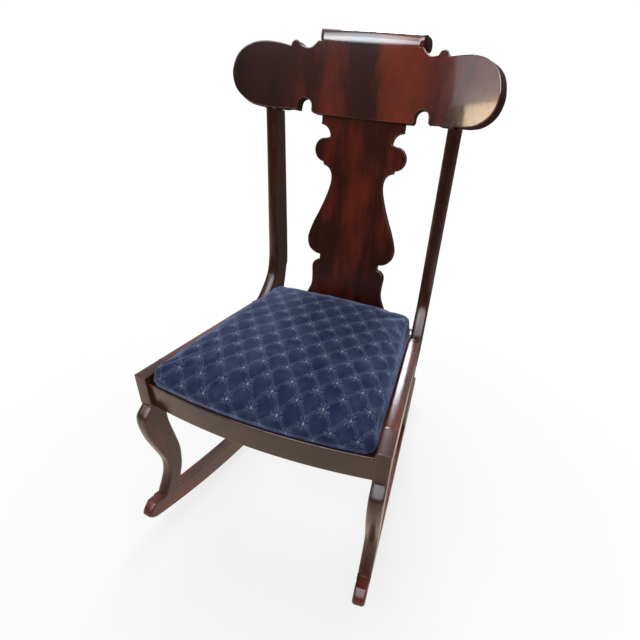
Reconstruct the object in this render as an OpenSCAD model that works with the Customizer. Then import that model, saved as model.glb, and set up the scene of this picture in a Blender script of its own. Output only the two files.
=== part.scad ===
// Child's rocking chair with a shaped crest rail, a vase splat and a drop-in upholstered seat.
// Millimetres, +Z up, front towards -Y, origin on the floor at the middle of the rockers' box.
// A place on a side is [s, z]: s runs back along the side from the head block's front,
// z is the height. A place marked seat frame is measured down from the head block's top
// and tips with the seat.

/* [Seat] */
// Width over the head blocks at the front of the seat
seat_w = 380; // [350:1:420]
// Height of the head blocks' front top edge above the floor
seat_h = 298.5; // [288:0.5:318]
// Fall of the seat towards the back, degrees, negative where it rises
seat_pitch = -0.6; // [-1:0.1:2]
// Angle that the legs and the stiles' feet are tipped back, degrees
leg_rake = 1.5; // [0:0.1:2]
// Angle that each side turns in towards the back, degrees
side_toe = 5.56; // [4:0.02:6.5]
// Thickness of the side boards
board_t = 20; // [18:0.5:22]
// Height of the side rails
rail_h = 51; // [46:1:56]
// Place on the side where a side rail ends and the stile foot begins
rail_end = 264; // [255:1:272]
// Radius of the crowned top edge of the rails and head blocks
crown_r = 60; // [24:1:80]

/* [Front legs] */
// Length of a head block along the side
block_l = 45; // [40:1:50]
// Height of a head block
block_h = 50.5; // [46:0.5:54]
// Height of the quirk, the groove under a head block
quirk_h = 2; // [1.5:0.1:2.5]
// Depth of the quirk
quirk_d = 2.5; // [1.5:0.1:3.5]

/* [Front rail] */
// Radius of the bowed front face
bow_r = 1003; // [900:1:1200]
// Distance that the bow stands out before the head blocks' front
bow_out = 12.5; // [9:0.5:15]
// Drop from the head block's top to the front rail's top
rail_drop = 13; // [11:0.5:14]
// Height of the front rail
front_rail_h = 41; // [37:1:44]
// Thickness of the front rail
front_rail_t = 20; // [17:0.5:23]

/* [Back rail] */
// Distance from the head blocks' front to the back rail's front face
back_rail_y = 300; // [297:1:302]
// Thickness of the back rail
back_rail_t = 24; // [22:0.5:26]
// Height of the back rail
back_rail_h = 38; // [34:1:40]

/* [Rockers] */
// Radius of the rolling underside
rocker_r = 980; // [900:5:1200]
// Radius of the hollow top
rocker_top_r = 1330; // [1200:5:1600]
// Depth of a rocker at its lowest point
rocker_h = 39; // [35:0.2:43]
// Width of a rocker
rocker_w = 19; // [17:0.5:20]
// Place of the lowest point on the side
rocker_rest = 217; // [208:1:226]
// Reach of the nose in front of the head block
nose_reach = 53; // [48:1:60]
// Place of the tail's end on the side
tail_end = 490; // [470:1:510]
// Angle of one facet of the rolling underside, degrees
rocker_facet = 1.6; // [1.2:0.1:2]

/* [Stiles] */
// Width of a stile across the chair
stile_w = 20.6; // [19:0.2:22]
// Step by which a stile stands outside the side rail
stile_proud = 1.5; // [0.5:0.1:2]
// Depth of a stile under the crest rail
stile_top_d = 28; // [25:0.5:31]
// Distance that the crest rail's front stands before the stile's front
crest_overhang = 3.5; // [2:0.5:6]
// Length of the stile foot along the side
stile_foot_l = 63; // [60:1:68]

/* [Crest rail] */
// Distance from the head blocks' front to the crest rail's front at the middle
crest_y = 353; // [345:1:358]
// Height of the crest rail's datum above the head blocks
crest_z = 320; // [300:1:345]
// Lean of the crest rail, degrees
crest_lean = 10.45; // [8:0.05:12]
// Radius of its hollow front
crest_r = 446; // [420:1:520]
// Thickness of the crest rail
crest_t = 20; // [18:0.5:24]
// Half width of the crest rail
crest_half_w = 200.6; // [190:0.2:215]
// Half width of its raised middle
crest_mid_half = 80; // [76:0.5:84]

/* [Scroll] */
// Height of the scroll
scroll_h = 18; // [16:0.5:22]
// Depth of the scroll
scroll_d = 31; // [28:0.5:34]
// Half length of the scroll along its front
scroll_half_l = 79; // [76:0.5:80]
// Distance that the scroll stands before the crest rail at its middle
scroll_overhang = 3; // [0:0.5:4]
// Angle at which the scroll's ends flare out towards the back, degrees
scroll_flare = 12; // [0:0.5:15]

/* [Splat] */
// Thickness of the splat
splat_t = 12; // [10:0.5:13]
// Lean of the splat, degrees
splat_lean = 7.41; // [6.6:0.01:7.8]
// Distance that the splat's front stands behind the crest rail's front
splat_setback = 3; // [2:0.5:5]
// Half width of its shoulders under the crest rail
splat_shoulder = 69; // [66:0.5:72]
// Half width of the splat at the back rail
splat_foot_half = 92; // [80:1:100]

/* [Drop-in seat] */
// Gap between the drop-in seat and each side rail
seat_gap = 1.5; // [1:0.1:2.5]
// Gap under the drop-in seat where it lies on the rails
seat_lie = 0.3; // [0.2:0.1:0.5]
// Distance that the cover's front edge stands behind the front rail's face
seat_setback = 3; // [2:0.5:5]
// Distance from the head blocks' front to the drop-in seat's back edge
seat_back_y = 306; // [303:0.5:308]
// Radius of the seat's corners in plan
corner_r = 16; // [12:1:20]
// Thickness of the wooden seat frame
slip_t = 12; // [10:0.5:14]
// Width of each frame member
slip_w = 45; // [38:1:52]
// Thickness of a webbing strap
web_t = 1.2; // [1:0.1:1.4]
// Width of a webbing strap
web_w = 50; // [44:1:54]
// Thickness of the burlap
burlap_t = 0.8; // [0.6:0.1:1]
// Thickness of the cover
cover_t = 1.6; // [1.2:0.1:2]
// Height of the cushion's edge above the head blocks at the front
pad_front_h = 10; // [9:0.5:15]
// Height of the cushion's edge above the head blocks at the back
pad_back_h = 23; // [18:0.5:30]
// Rise of the crown above the edges
pad_crown = 20; // [14:0.5:26]
// Drop of the rounded edge
pad_edge = 6; // [4:0.5:6]
// Distance that the sides are drawn in between the corners
pad_draw = 2.5; // [1:0.1:4]

/* [Joinery] */
// Radius of the dowels in the rails and legs
dowel_r = 4; // [3.5:0.1:4.5]
// Length of the dowels in the rails and legs
dowel_l = 28; // [24:1:30]
// Radius of the crest dowels
crest_dowel_r = 4.5; // [4:0.1:5]
// Length of the crest dowels
crest_dowel_l = 40; // [34:1:44]
// Clearance round a dowel or a tenon
fit = 0.1; // [0.05:0.01:0.15]
// Clearance at the end of a dowel or a tenon
end_fit = 1; // [0.5:0.1:1.5]
// Thickness of the splat's tenons
tenon_t = 7; // [5:0.5:8]
// Length of the splat's tenons
tenon_l = 12; // [8:1:14]
// Half width of the splat's top tenon
top_tenon_half = 45; // [35:1:55]
// Half width of the splat's foot tenon
foot_tenon_half = 60; // [45:1:70]
// Width and height of the seat ledges
ledge = 12; // [10:0.5:13]
// Length of a corner block's leg
corner_l = 48; // [42:1:54]
// Height of a corner block
corner_h = 24; // [18:1:25]
// Shank radius of the wood screws
screw_r = 2; // [1.6:0.1:2.4]
// Head radius of the wood screws
screw_head_r = 4; // [3.4:0.1:4.6]
// Head height of the wood screws
screw_head_h = 2.6; // [2:0.1:3]
// Length of a ledge screw
ledge_screw_l = 24; // [20:1:27]
// Length of a corner screw
corner_screw_l = 34; // [30:1:38]
// Head radius of a tack
tack_head_r = 3.2; // [2.6:0.1:4]
// Shank radius of a tack
tack_r = 0.8; // [0.6:0.1:1]
// Length of a tack
tack_l = 8; // [6:0.5:9]

/* [Hidden] */

// Colours
mahogany = [0.30, 0.12, 0.09];
dark_mahogany = [0.20, 0.07, 0.06];
pale_wood = [0.72, 0.56, 0.38];
steel = [0.55, 0.55, 0.56];
jute = [0.66, 0.55, 0.38];
navy = [0.16, 0.18, 0.38];
cotton = [0.88, 0.86, 0.80];

// Facets of small rounds, and of the wide arcs of rails and rockers
round_fn = 32;
arc_fn = 360;
// Reach of a cutting or trimming block past what it trims
past = 60;

// Front of the head blocks, so that the rockers' box is centred on the origin
front_y = -((tail_end - nose_reach) * cos(side_toe) - board_t * sin(side_toe)) / 2;

// Points on a smooth run through the points p, with n steps between neighbours
function run(p, n = 4) = concat([for (i = [0 : len(p) - 2]) for (j = [0 : n - 1])
  let (t = j / n, a = p[max(i - 1, 0)], b = p[i], c = p[i + 1], d = p[min(i + 2, len(p) - 1)])
  0.5 * (2 * b + (c - a) * t + (2 * a - 5 * b + 4 * c - d) * t ^ 2
    + (3 * b - a - 3 * c + d) * t ^ 3)], [p[len(p) - 1]]);
// Points on an arc about c from angle a to angle b
function arc(c, r, a, b, n = 8) = [for (i = [0 : n])
  c + r * [cos(a + (b - a) * i / n), sin(a + (b - a) * i / n)]];
// A list turned end for end, and the mirror image of a half outline in reverse order
function turned(p) = [for (i = [len(p) - 1 : -1 : 0]) p[i]];
function mirrored(p) = [for (q = turned(p)) [-q.x, q.y]];

// A place [s, z] on the side, tipped by an angle about the head block's top front edge,
// as a place above the floor
function tip(p, angle) = [p.x * cos(angle) + p.y * sin(angle),
  seat_h - p.x * sin(angle) + p.y * cos(angle)];
function rest(p) = tip(p, seat_pitch);
function raked(p) = tip(p, leg_rake);
// Height of the side rail's bottom edge at place s
function rail_foot_z(s) = seat_h - s * tan(seat_pitch) - rail_h / cos(seat_pitch);

// Rocker underside and top as heights over the floor at place s
function under_z(s) = rocker_r * cos(rocker_facet / 2)
  - sqrt(rocker_r ^ 2 - (s - rocker_rest) ^ 2);
function top_z(s) = rocker_h + rocker_top_r - sqrt(rocker_top_r ^ 2 - (s - rocker_rest) ^ 2);
// A place at s, the share f of the way from the underside to the top
function across(s, f) = [s, under_z(s) * (1 - f) + top_z(s) * f];
// The nose and tail as distance from the tip and share of the depth
nose_curve = [[8, 0], [3, 0.1], [0, 0.27], [1.5, 0.45], [5.5, 0.68], [11, 0.88], [15, 1]];
tail_curve = [[6, 1], [1.5, 0.82], [0, 0.5], [1.5, 0.18], [6, 0]];
top_steps = 40;
top_front = nose_curve[6].x - nose_reach;
top_back = tail_end - tail_curve[0].x;
facets_front = floor(asin((rocker_rest + nose_reach - nose_curve[0].x) / rocker_r)
  / rocker_facet - 0.5);
facets_back = floor(asin((tail_end - tail_curve[4].x - rocker_rest) / rocker_r)
  / rocker_facet - 0.5);
rocker_outline = concat(
  run([for (p = nose_curve) across(p.x - nose_reach, p.y)], 3),
  [for (i = [1 : top_steps - 1]) let (s = top_front + (top_back - top_front) * i / top_steps)
    [s, top_z(s)]],
  run([for (p = tail_curve) across(tail_end - p.x, p.y)], 3),
  [for (i = [facets_back : -1 : -facets_front - 1]) let (a = (i + 0.5) * rocker_facet)
    [rocker_rest + rocker_r * sin(a), rocker_r * (cos(rocker_facet / 2) - cos(a))]]);

// Front leg below the head block: [s, share of the drop to the rocker]
knee_front = [[-7.6, 0.038], [-13.7, 0.076], [-15.8, 0.13], [-15.2, 0.21], [-11, 0.332],
  [-5, 0.438], [1.5, 0.544], [6.5, 0.634], [7.6, 0.708], [5, 0.793], [-2, 0.878],
  [-11, 0.963], [-19, 1.06]];
calf_back = [[20, 1.06], [20, 0.995], [24, 0.889], [29.9, 0.793], [32.6, 0.719], [34, 0.607],
  [32.9, 0.52], [29.3, 0.406], [25.5, 0.289], [23.6, 0.2], [24.6, 0.12], [31, 0.045]];
front_drop = seat_h - block_h - top_z(0);
front_leg_outline = concat([for (p = concat(
  [[0, 0], [0, -block_h], [quirk_d, -block_h - quirk_h / 2], [0, -block_h - quirk_h]],
  run([for (q = knee_front) [q.x, -block_h - quirk_h / 2 - q.y * front_drop]]),
  run([for (q = calf_back) [q.x, -block_h - q.y * front_drop]]))) raked(p)],
  [rest([block_l, -block_h]), rest([block_l, 0])]);

// Rear leg under the stile foot: [distance behind the rail's end, share of the drop]
shin_front = [[2, 0], [7, 0.13], [16, 0.31], [29, 0.55], [46, 0.78], [60, 0.95], [66, 1.04]];
shin_back = [[97, 1.04], [83, 0.88], [67, 0.68], [55, 0.47], [49, 0.28], [52, 0.13], [61, 0]];
rear_drop = rail_foot_z(rail_end) - top_z(rail_end + shin_back[0].x);
function shin(q) = let (s = rail_end + q.x - (rail_h + q.y * rear_drop) * sin(leg_rake))
  [s, rail_foot_z(s) - q.y * rear_drop];
rear_leg_outline = concat(
  run([for (q = shin_front) shin(q)]),
  run([for (q = shin_back) shin(q)]));

// Stile: the bend over its foot as distances behind the rail's end and above the rail
bend_start = 9;
bend_front = [[16.4, 14.9], [32.3, 31.3], [46.9, 52.4], [53.5, 76.9], [55.7, 100.9]];
bend_back = [[91.9, 95.5], [88, 60], [78, 17], [70, -18]];
bend_end = raked([rail_end, 0] + bend_front[len(bend_front) - 1]);
crest_z0 = seat_h + crest_z;
stile_x = seat_w / 2 - (stile_w / 2 - stile_proud) * cos(side_toe)
  - crest_y * tan(side_toe);
// Fall of the crest rail's hollow front at distance x from the middle, on radius r
function crest_sag(x, r) = r - sqrt(r ^ 2 - x ^ 2);
stile_top_s = (crest_y - crest_sag(stile_x, crest_r) + crest_overhang) / cos(side_toe);
stile_outline = concat(
  [rest([rail_end, -rail_h]), rest([rail_end, 0])],
  run(concat([rest([rail_end + bend_start, 0])],
    [for (p = bend_front) raked([rail_end + p.x, p.y])],
    [bend_end * 0.75 + [stile_top_s, crest_z0] * 0.25],
    [[stile_top_s, crest_z0], [stile_top_s + 1, crest_z0 + past]])),
  run(concat([[stile_top_s + stile_top_d, crest_z0 + past], [stile_top_s + stile_top_d, crest_z0]],
    [for (p = bend_back) raked([rail_end + p.x, p.y])])),
  [rest([rail_end + stile_foot_l, -rail_h])]);

// Crest rail outline: [distance from the middle, height on the board]
crest_base = -1;
crest_top = 94.5;
notch_x = 95.2;
notch_r = 11;
notch_z = 8;
bead_x = 113;
bead_r = 8;
bead_z = 84;
lobe_flat = crest_half_w - 38;
crest_half = concat(
  [[notch_x - notch_r - 3, crest_base], [notch_x - notch_r, crest_base + 3]],
  arc([notch_x, notch_z], notch_r, 180, 0),
  run([[notch_x + notch_r + 1, 0.8], [120, 1.2], [128, -0.6], [136, crest_base]]),
  run([[lobe_flat, crest_base], [crest_half_w - 24, 1.4], [crest_half_w - 12.6, 7.8],
    [crest_half_w - 4.2, 17.5], [crest_half_w - 0.2, 30], [crest_half_w, 42],
    [crest_half_w - 4.8, 59], [crest_half_w - 14, 71.5], [crest_half_w - 29, 81],
    [crest_half_w - 45, 85], [crest_half_w - 62, 85.6], [bead_x + bead_r, bead_z]]),
  arc([bead_x, bead_z], bead_r, 8, 165),
  run([[104.6, 85.8], [96, 84.4], [89.5, 86.5], [crest_mid_half + 1, crest_top]]));
crest_outline = concat(crest_half, mirrored(crest_half));
// The lobe beyond lobe_start, drawn square to the crest's curve at the angle lobe_turn, so
// that its end is cut square to its face, and the end of the part that is cut straight back
lobe_start = crest_half_w - 62;
middle_end = crest_half_w - 49;
lobe_turn = 24;
lobe_outline = [for (p = concat([[lobe_start, crest_base]], crest_half))
  if (p.x >= lobe_start) [crest_r * sin(asin(p.x / crest_r) - lobe_turn), p.y]];
lobe_sag = crest_sag(lobe_outline[0].x, crest_r);

// Splat outline: [distance from the middle, height on the board over the datum]
splat_z = 120;
ear = [60, 150.4];
ear_r = 18;
cove_r = 16.5;
splat_y = crest_y + splat_setback - (crest_z - splat_z) * tan(splat_lean);
splat_top = (crest_z - splat_z) / cos(splat_lean);
splat_down = (splat_z + rail_drop + back_rail_y * tan(seat_pitch)) / cos(splat_lean);
splat_half = concat(
  run([[splat_foot_half, -splat_down - tenon_l], [80, -108], [69, -82], [68.2, -62],
    [69.2, -48], [67.6, -40], [62.3, -34.3], [55.5, -32]]),
  run([[55.5, -22.5], [63, -21.5], [71, -18], [78, -11], [81.2, 0], [80, 12], [72, 34],
    [63.5, 52], [55.8, 70], [49.5, 87], [45.7, 101], [45.2, 111.5], [47.6, 119.5],
    [52.7, 125], [61, 128.2]]),
  arc(ear, ear_r, -85, 90),
  arc([splat_shoulder, 170.5], cove_r, 180, 90, 6),
  [[splat_shoulder, splat_top + past]]);
splat_outline = concat(splat_half, mirrored(splat_half));

// Places of the dowels on the side and in height, seat frame
dowel_high = -19;
dowel_low = -41;
front_rail_s = front_rail_t / 2 + 2;
back_rail_s = (back_rail_y + back_rail_t / 2) / cos(side_toe) + board_t * tan(side_toe);
crest_dowel_n = 12.5;

// Drop-in seat heights, seat frame
slip_z = seat_lie - rail_drop;
web_z = slip_z + slip_t;
burlap_z = web_z + 2 * web_t;
pad_z = burlap_z + burlap_t;
// Half width between the side boards at distance y behind the front, less an inset
function inner_x(y, inset) = seat_w / 2 - (board_t + inset) / cos(side_toe) - y * tan(side_toe);
// The seat's plan, inset by g: bowed front, rounded corners, straight sides and back
bow_steps = 6;
corner_steps = 4;
side_steps = 8;
back_steps = 4;
function seat_half(g) =
  let (r = corner_r - g, q = bow_r - seat_setback - g - r, c = bow_r - bow_out,
    in = seat_gap + g + r, x0 = inner_x(0, in), x1 = inner_x(c - sqrt(q ^ 2 - x0 ^ 2), in),
    y1 = c - sqrt(q ^ 2 - x1 ^ 2), turn = asin(x1 / q), y2 = seat_back_y - g - r,
    x2 = inner_x(y2, in), a = arc([x1, y1], r, turn - 90, side_toe, corner_steps),
    b = arc([x2, y2], r, side_toe, 90, corner_steps))
  concat([for (i = [0 : bow_steps - 1]) let (f = turn * i / bow_steps)
      [(q + r) * sin(f), c - (q + r) * cos(f)]], a,
    [for (i = [1 : side_steps - 1]) a[corner_steps]
      + (b[0] - a[corner_steps]) * i / side_steps], b,
    [for (i = [1 : back_steps]) [x2 * (1 - i / back_steps), seat_back_y - g]]);
function seat_loop(g) = let (h = seat_half(g), n = len(h))
  concat(h, [for (i = [n - 2 : -1 : 1]) [-h[i].x, h[i].y]]);
loop_n = len(seat_loop(0));
pad_mid = [0, seat_back_y / 2];
// Shares of the way out from the cushion's middle at which its rings lie
pad_rings = [1, 0.985, 0.95, 0.89, 0.8, 0.66, 0.48, 0.26];
// Height of the cushion's surface at p, on the ring at share k
function pad_height(p, k) =
  let (u = min(abs(p.x) / inner_x(p.y, seat_gap), 1), v = min(abs(2 * p.y / seat_back_y - 1), 1))
  pad_front_h + (pad_back_h - pad_front_h) * max(p.y / seat_back_y, 0) ^ 0.85
  + pad_crown * (1 - u ^ 2) * (1 - v ^ 4) - pad_edge * k ^ 12;
// One ring of the cushion's surface, inset by g, with the sides drawn in between corners
function pad_ring(k, g) = [for (p = seat_loop(g))
  let (q = pad_mid + (p - pad_mid) * k, f = min(max(q.y / seat_back_y, 0), 1),
    d = pad_draw * sin(180 * f) * k ^ 4)
  [q.x - sign(q.x) * min(d, abs(q.x)), q.y, pad_height(q, k) - g]];
// The loop inset by g at height z
function flat_ring(g, z) = [for (p = seat_loop(g)) [p.x, p.y, z]];
function pad_peak(g) = [pad_mid.x, pad_mid.y, pad_height(pad_mid, 0) - g];

// Triangles between rings i and i + 1 of n points, seen from outside
function band(i, n) = [for (j = [0 : n - 1]) let (a = i * n + j, b = i * n + (j + 1) % n)
  each [[a, a + n, b], [b, a + n, b + n]]];
// Triangles from ring i to a point, closing a top or a bottom
function cap(i, n, point) = [for (j = [0 : n - 1]) [i * n + j, point, i * n + (j + 1) % n]];
function flipped(faces) = [for (f = faces) [f[0], f[2], f[1]]];
function moved(faces, by) = [for (f = faces) [f[0] + by, f[1] + by, f[2] + by]];

// Children drawn in a side's own plane: x out of the side, y along it, z up
module in_side(side) {
  mirror([side < 0 ? 1 : 0, 0, 0])
    translate([seat_w / 2, front_y, 0])
      rotate([0, 0, side_toe])
        children();
}
// A board of thickness t cut to an outline of [s, z], its outer face at depth d
module board(outline, t, d = 0) {
  translate([-d - t, 0, 0])
    rotate([90, 0, 90])
      linear_extrude(t)
        polygon(outline);
}
// Children in the seat frame of a side, and of the whole chair
module tipped() {
  translate([0, 0, seat_h])
    rotate([-seat_pitch, 0, 0])
      children();
}
module in_seat() {
  translate([0, front_y, 0])
    tipped()
      children();
}
// Children in the plane of the crest rail: x across, y out of its back, z up the board
module on_crest() {
  translate([0, front_y + crest_y, crest_z0])
    rotate([-crest_lean, 0, 0])
      children();
}
module on_splat() {
  translate([0, front_y + splat_y, seat_h + splat_z])
    rotate([-splat_lean, 0, 0])
      children();
}
// The upright block of space between the sides, down to depth d inside their outer faces
module between_sides(d) {
  deep = back_rail_y + back_rail_t + past;
  linear_extrude(crest_z0)
    translate([0, front_y])
      polygon([for (q = [[1, -past], [1, deep], [-1, deep], [-1, -past]])
        [q[0] * (seat_w / 2 - d / cos(side_toe) - q[1] * tan(side_toe)), q[1]]]);
}
// All the space under a rail's crowned top, in a side's seat frame
module under_crown() {
  drop = crown_r - sqrt(crown_r ^ 2 - (board_t / 2) ^ 2);
  reach = rail_end + 2 * past;
  translate([-board_t / 2, reach - past, 0])
    rotate([90, 0, 0])
      linear_extrude(reach) {
        translate([-board_t, -seat_h - past])
          square([2 * board_t, seat_h + past - drop]);
        intersection() {
          translate([0, -crown_r])
            circle(crown_r, $fn = 4 * round_fn);
          translate([-board_t / 2, -2 * drop])
            square([board_t, 2 * drop]);
        }
      }
}
module below_crest() {
  on_crest()
    translate([-crest_half_w, -crest_r, crest_base - 3 * crest_r])
      cube([2 * crest_half_w, 2 * crest_r, 3 * crest_r]);
}

// A dowel or its hole along +Z, centred on the origin
module dowel(r, l) {
  cylinder(r = r, h = l, center = true, $fn = round_fn);
}
module rail_dowel_places(side) {
  in_side(side)
    tipped()
      for (z = [dowel_high, dowel_low]) {
        translate([-board_t, front_rail_s, z - 4])
          rotate([0, 90, 0])
            children();
        translate([stile_proud - stile_w, back_rail_s, z - 3])
          rotate([0, 90, 0])
            children();
        for (s = [block_l, rail_end])
          translate([-board_t / 2, s, z])
            rotate([90, 0, 0])
              children();
      }
}
module leg_dowel_places(side) {
  in_side(side) {
    for (s = [2, 14])
      translate([-board_t / 2, s, top_z(s)])
        children();
    for (s = [rail_end + 64, rail_end + 75])
      translate([-board_t / 2, s, top_z(s)])
        children();
    tipped()
      for (s = [rail_end + 22, rail_end + 37])
        translate([-board_t / 2, s, -rail_h])
          children();
  }
}
module crest_dowel_places(side) {
  on_crest()
    translate([side * stile_x, -crest_dowel_n, crest_base])
      children();
}
module dowel_holes(side) {
  rail_dowel_places(side)
    dowel(dowel_r + fit, dowel_l + 2 * end_fit);
  leg_dowel_places(side)
    dowel(dowel_r + fit, dowel_l + 2 * end_fit);
  crest_dowel_places(side)
    dowel(crest_dowel_r + fit, crest_dowel_l + 2 * end_fit);
}
// A wood screw whose head's face lies on the origin, its shank running along +Z
module screw(l, grow = 0) {
  cylinder(r1 = screw_head_r + grow, r2 = screw_r + grow, h = screw_head_h, $fn = round_fn);
  cylinder(r = screw_r + grow, h = l + grow, $fn = round_fn);
}
module ledge_screw_places(side) {
  in_side(side)
    tipped()
      for (i = [0 : 2])
        translate([-board_t - ledge, block_l + 25 + i * (rail_end - block_l - 50) / 2,
            -rail_drop - ledge / 2])
          rotate([0, 90, 0])
            children();
}
module corner_screw_places(side) {
  in_side(side)
    tipped()
      for (q = [[front_rail_s + front_rail_t / 2 + corner_l / 2, 1],
          [back_rail_s - back_rail_t / 2 - corner_l / 2, -1]])
        translate([-board_t - corner_l * 0.42, q[0] - q[1] * corner_l * 0.06,
            (dowel_high + dowel_low) / 2 - 1])
          rotate([0, 90, 0])
            children();
}
module screw_holes(side) {
  ledge_screw_places(side)
    screw(ledge_screw_l, fit);
  corner_screw_places(side)
    screw(corner_screw_l, fit);
}

// Splat tenons, grown by a clearance for their mortises
module splat_tenon(half, up, l, grow) {
  translate([-half - grow, (splat_t - tenon_t) / 2 - grow, up])
    cube([2 * (half + grow), tenon_t + 2 * grow, l]);
}
module splat_tenons(grow = 0, deeper = 0) {
  on_splat() {
    splat_tenon(top_tenon_half, splat_top - tenon_l, 2 * tenon_l + deeper, grow);
    splat_tenon(foot_tenon_half, -splat_down - tenon_l - deeper, 2 * tenon_l + deeper, grow);
  }
}

module crest_rail() {
  color(mahogany)
    difference() {
      on_crest()
        intersection() {
          translate([0, -crest_r, crest_base])
            difference() {
              cylinder(r = crest_r + crest_t, h = crest_top - crest_base, $fn = arc_fn);
              translate([0, 0, -1])
                cylinder(r = crest_r, h = crest_top - crest_base + 2, $fn = arc_fn);
            }
          union() {
            translate([0, crest_t + 1, 0])
              rotate([90, 0, 0])
                linear_extrude(crest_sag(middle_end, crest_r) + crest_t + 2)
                  intersection() {
                    polygon(crest_outline);
                    translate([-middle_end, crest_base])
                      square([2 * middle_end, crest_top - crest_base]);
                  }
            for (side = [-1, 1])
              translate([0, -crest_r, 0])
                rotate([0, 0, -side * lobe_turn])
                  translate([0, crest_r + crest_t + 1, 0])
                    rotate([90, 0, 0])
                      linear_extrude(lobe_sag + crest_t + 2)
                        polygon([for (p = lobe_outline) [side * p.x, p.y]]);
          }
        }
      for (side = [-1, 1])
        dowel_holes(side);
      splat_tenons(fit, end_fit);
    }
}
module crest_scroll() {
  ball = scroll_h / 2;
  back = scroll_d - scroll_overhang;
  wide = scroll_half_l + scroll_d * tan(scroll_flare);
  color(dark_mahogany)
    on_crest()
      intersection() {
        translate([-wide, -scroll_overhang, crest_top + ball])
          rotate([90, 0, 90])
            linear_extrude(2 * wide) {
              translate([ball, 0])
                circle(ball, $fn = round_fn);
              translate([scroll_d - ball, 0])
                circle(ball, $fn = round_fn);
              translate([ball, -ball])
                square([scroll_d - scroll_h, scroll_h]);
            }
        translate([0, 0, crest_top - 1])
          linear_extrude(scroll_h + 2)
            polygon([[-scroll_half_l, -scroll_overhang], [scroll_half_l, -scroll_overhang],
              [wide, back], [-wide, back]]);
      }
}
module splat() {
  color(mahogany) {
    intersection() {
      on_splat()
        translate([0, splat_t, 0])
          rotate([90, 0, 0])
            linear_extrude(splat_t)
              polygon(splat_outline);
      below_crest();
      in_seat()
        translate([-seat_w / 2, 0, -rail_drop])
          cube([seat_w, 2 * back_rail_y, 2 * crest_z]);
    }
    splat_tenons();
  }
}
module stile(side) {
  color(mahogany)
    difference() {
      intersection() {
        in_side(side)
          board(stile_outline, stile_w, -stile_proud);
        below_crest();
      }
      dowel_holes(side);
      screw_holes(side);
    }
}
module side_rail(side) {
  color(mahogany)
    difference() {
      in_side(side)
        tipped()
          intersection() {
            translate([-board_t, block_l, -rail_h])
              cube([board_t, rail_end - block_l, rail_h]);
            under_crown();
          }
      dowel_holes(side);
      screw_holes(side);
    }
}
module front_leg(side) {
  color(dark_mahogany)
    difference() {
      in_side(side)
        intersection() {
          board(front_leg_outline, board_t);
          tipped()
            under_crown();
        }
      in_side(side)
        board(rocker_outline, board_t + 2, -1);
      dowel_holes(side);
      screw_holes(side);
    }
}
module rear_leg(side) {
  color(dark_mahogany)
    difference() {
      in_side(side)
        board(rear_leg_outline, board_t);
      in_side(side)
        board(rocker_outline, board_t + 2, -1);
      dowel_holes(side);
    }
}
module rocker(side) {
  color(dark_mahogany)
    difference() {
      in_side(side)
        board(rocker_outline, rocker_w, (board_t - rocker_w) / 2);
      dowel_holes(side);
    }
}
module front_rail() {
  color(mahogany)
    difference() {
      intersection() {
        in_seat()
          translate([0, bow_r - bow_out, -rail_drop - front_rail_h])
            difference() {
              cylinder(r = bow_r, h = front_rail_h, $fn = 2 * arc_fn);
              translate([0, 0, -1])
                cylinder(r = bow_r - front_rail_t, h = front_rail_h + 2, $fn = 2 * arc_fn);
            }
        between_sides(board_t);
        translate([-seat_w / 2, front_y - past, 0])
          cube([seat_w, 2 * past, seat_h]);
      }
      for (side = [-1, 1])
        dowel_holes(side);
    }
}
module back_rail() {
  color(mahogany)
    difference() {
      intersection() {
        in_seat()
          translate([-seat_w / 2, back_rail_y, -rail_drop - back_rail_h])
            cube([seat_w, back_rail_t, back_rail_h]);
        between_sides(stile_w - stile_proud);
      }
      for (side = [-1, 1])
        dowel_holes(side);
      splat_tenons(fit, end_fit);
    }
}
module seat_ledge(side) {
  from = front_rail_s + front_rail_t / 2 + ledge * tan(side_toe) + 2;
  color(pale_wood)
    difference() {
      in_side(side)
        tipped()
          translate([-board_t - ledge, from, -rail_drop - ledge])
            cube([ledge, back_rail_s - back_rail_t / 2 - 2 - from, ledge]);
      screw_holes(side);
    }
}
module ledge_screws() {
  color(steel)
    for (side = [-1, 1])
      ledge_screw_places(side)
        screw(ledge_screw_l);
}
// Glue blocks in the four corners, under the ledges
module corner_block(side, y, out) {
  difference() {
    intersection() {
      in_seat()
        translate([0, 0, -rail_drop - ledge - corner_h - 1])
          linear_extrude(corner_h)
            polygon([for (q = [[-corner_l, 0], [0, corner_l], [past, corner_l], [past, -past],
                [-corner_l, -past]])
              [side * (inner_x(y, 0) + q[0]), y + out * q[1]]]);
      between_sides(board_t);
      in_seat()
        translate([0, bow_r - bow_out, -seat_h])
          cylinder(r = bow_r - front_rail_t, h = seat_h, $fn = 2 * arc_fn);
      in_seat()
        translate([-seat_w / 2, -past, -seat_h])
          cube([seat_w, back_rail_y + past, seat_h]);
    }
    screw_holes(side);
  }
}
module corner_blocks() {
  color(pale_wood)
    for (side = [-1, 1]) {
      corner_block(side, front_rail_t, 1);
      corner_block(side, back_rail_y, -1);
    }
}
module corner_screws() {
  color(steel)
    for (side = [-1, 1])
      corner_screw_places(side)
        screw(corner_screw_l);
}
module rail_dowels() {
  color(pale_wood)
    for (side = [-1, 1])
      rail_dowel_places(side)
        dowel(dowel_r, dowel_l);
}
module leg_dowels() {
  color(pale_wood)
    for (side = [-1, 1])
      leg_dowel_places(side)
        dowel(dowel_r, dowel_l);
}
module crest_dowels() {
  color(pale_wood)
    for (side = [-1, 1])
      crest_dowel_places(side)
        dowel(crest_dowel_r, crest_dowel_l);
}

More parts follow.
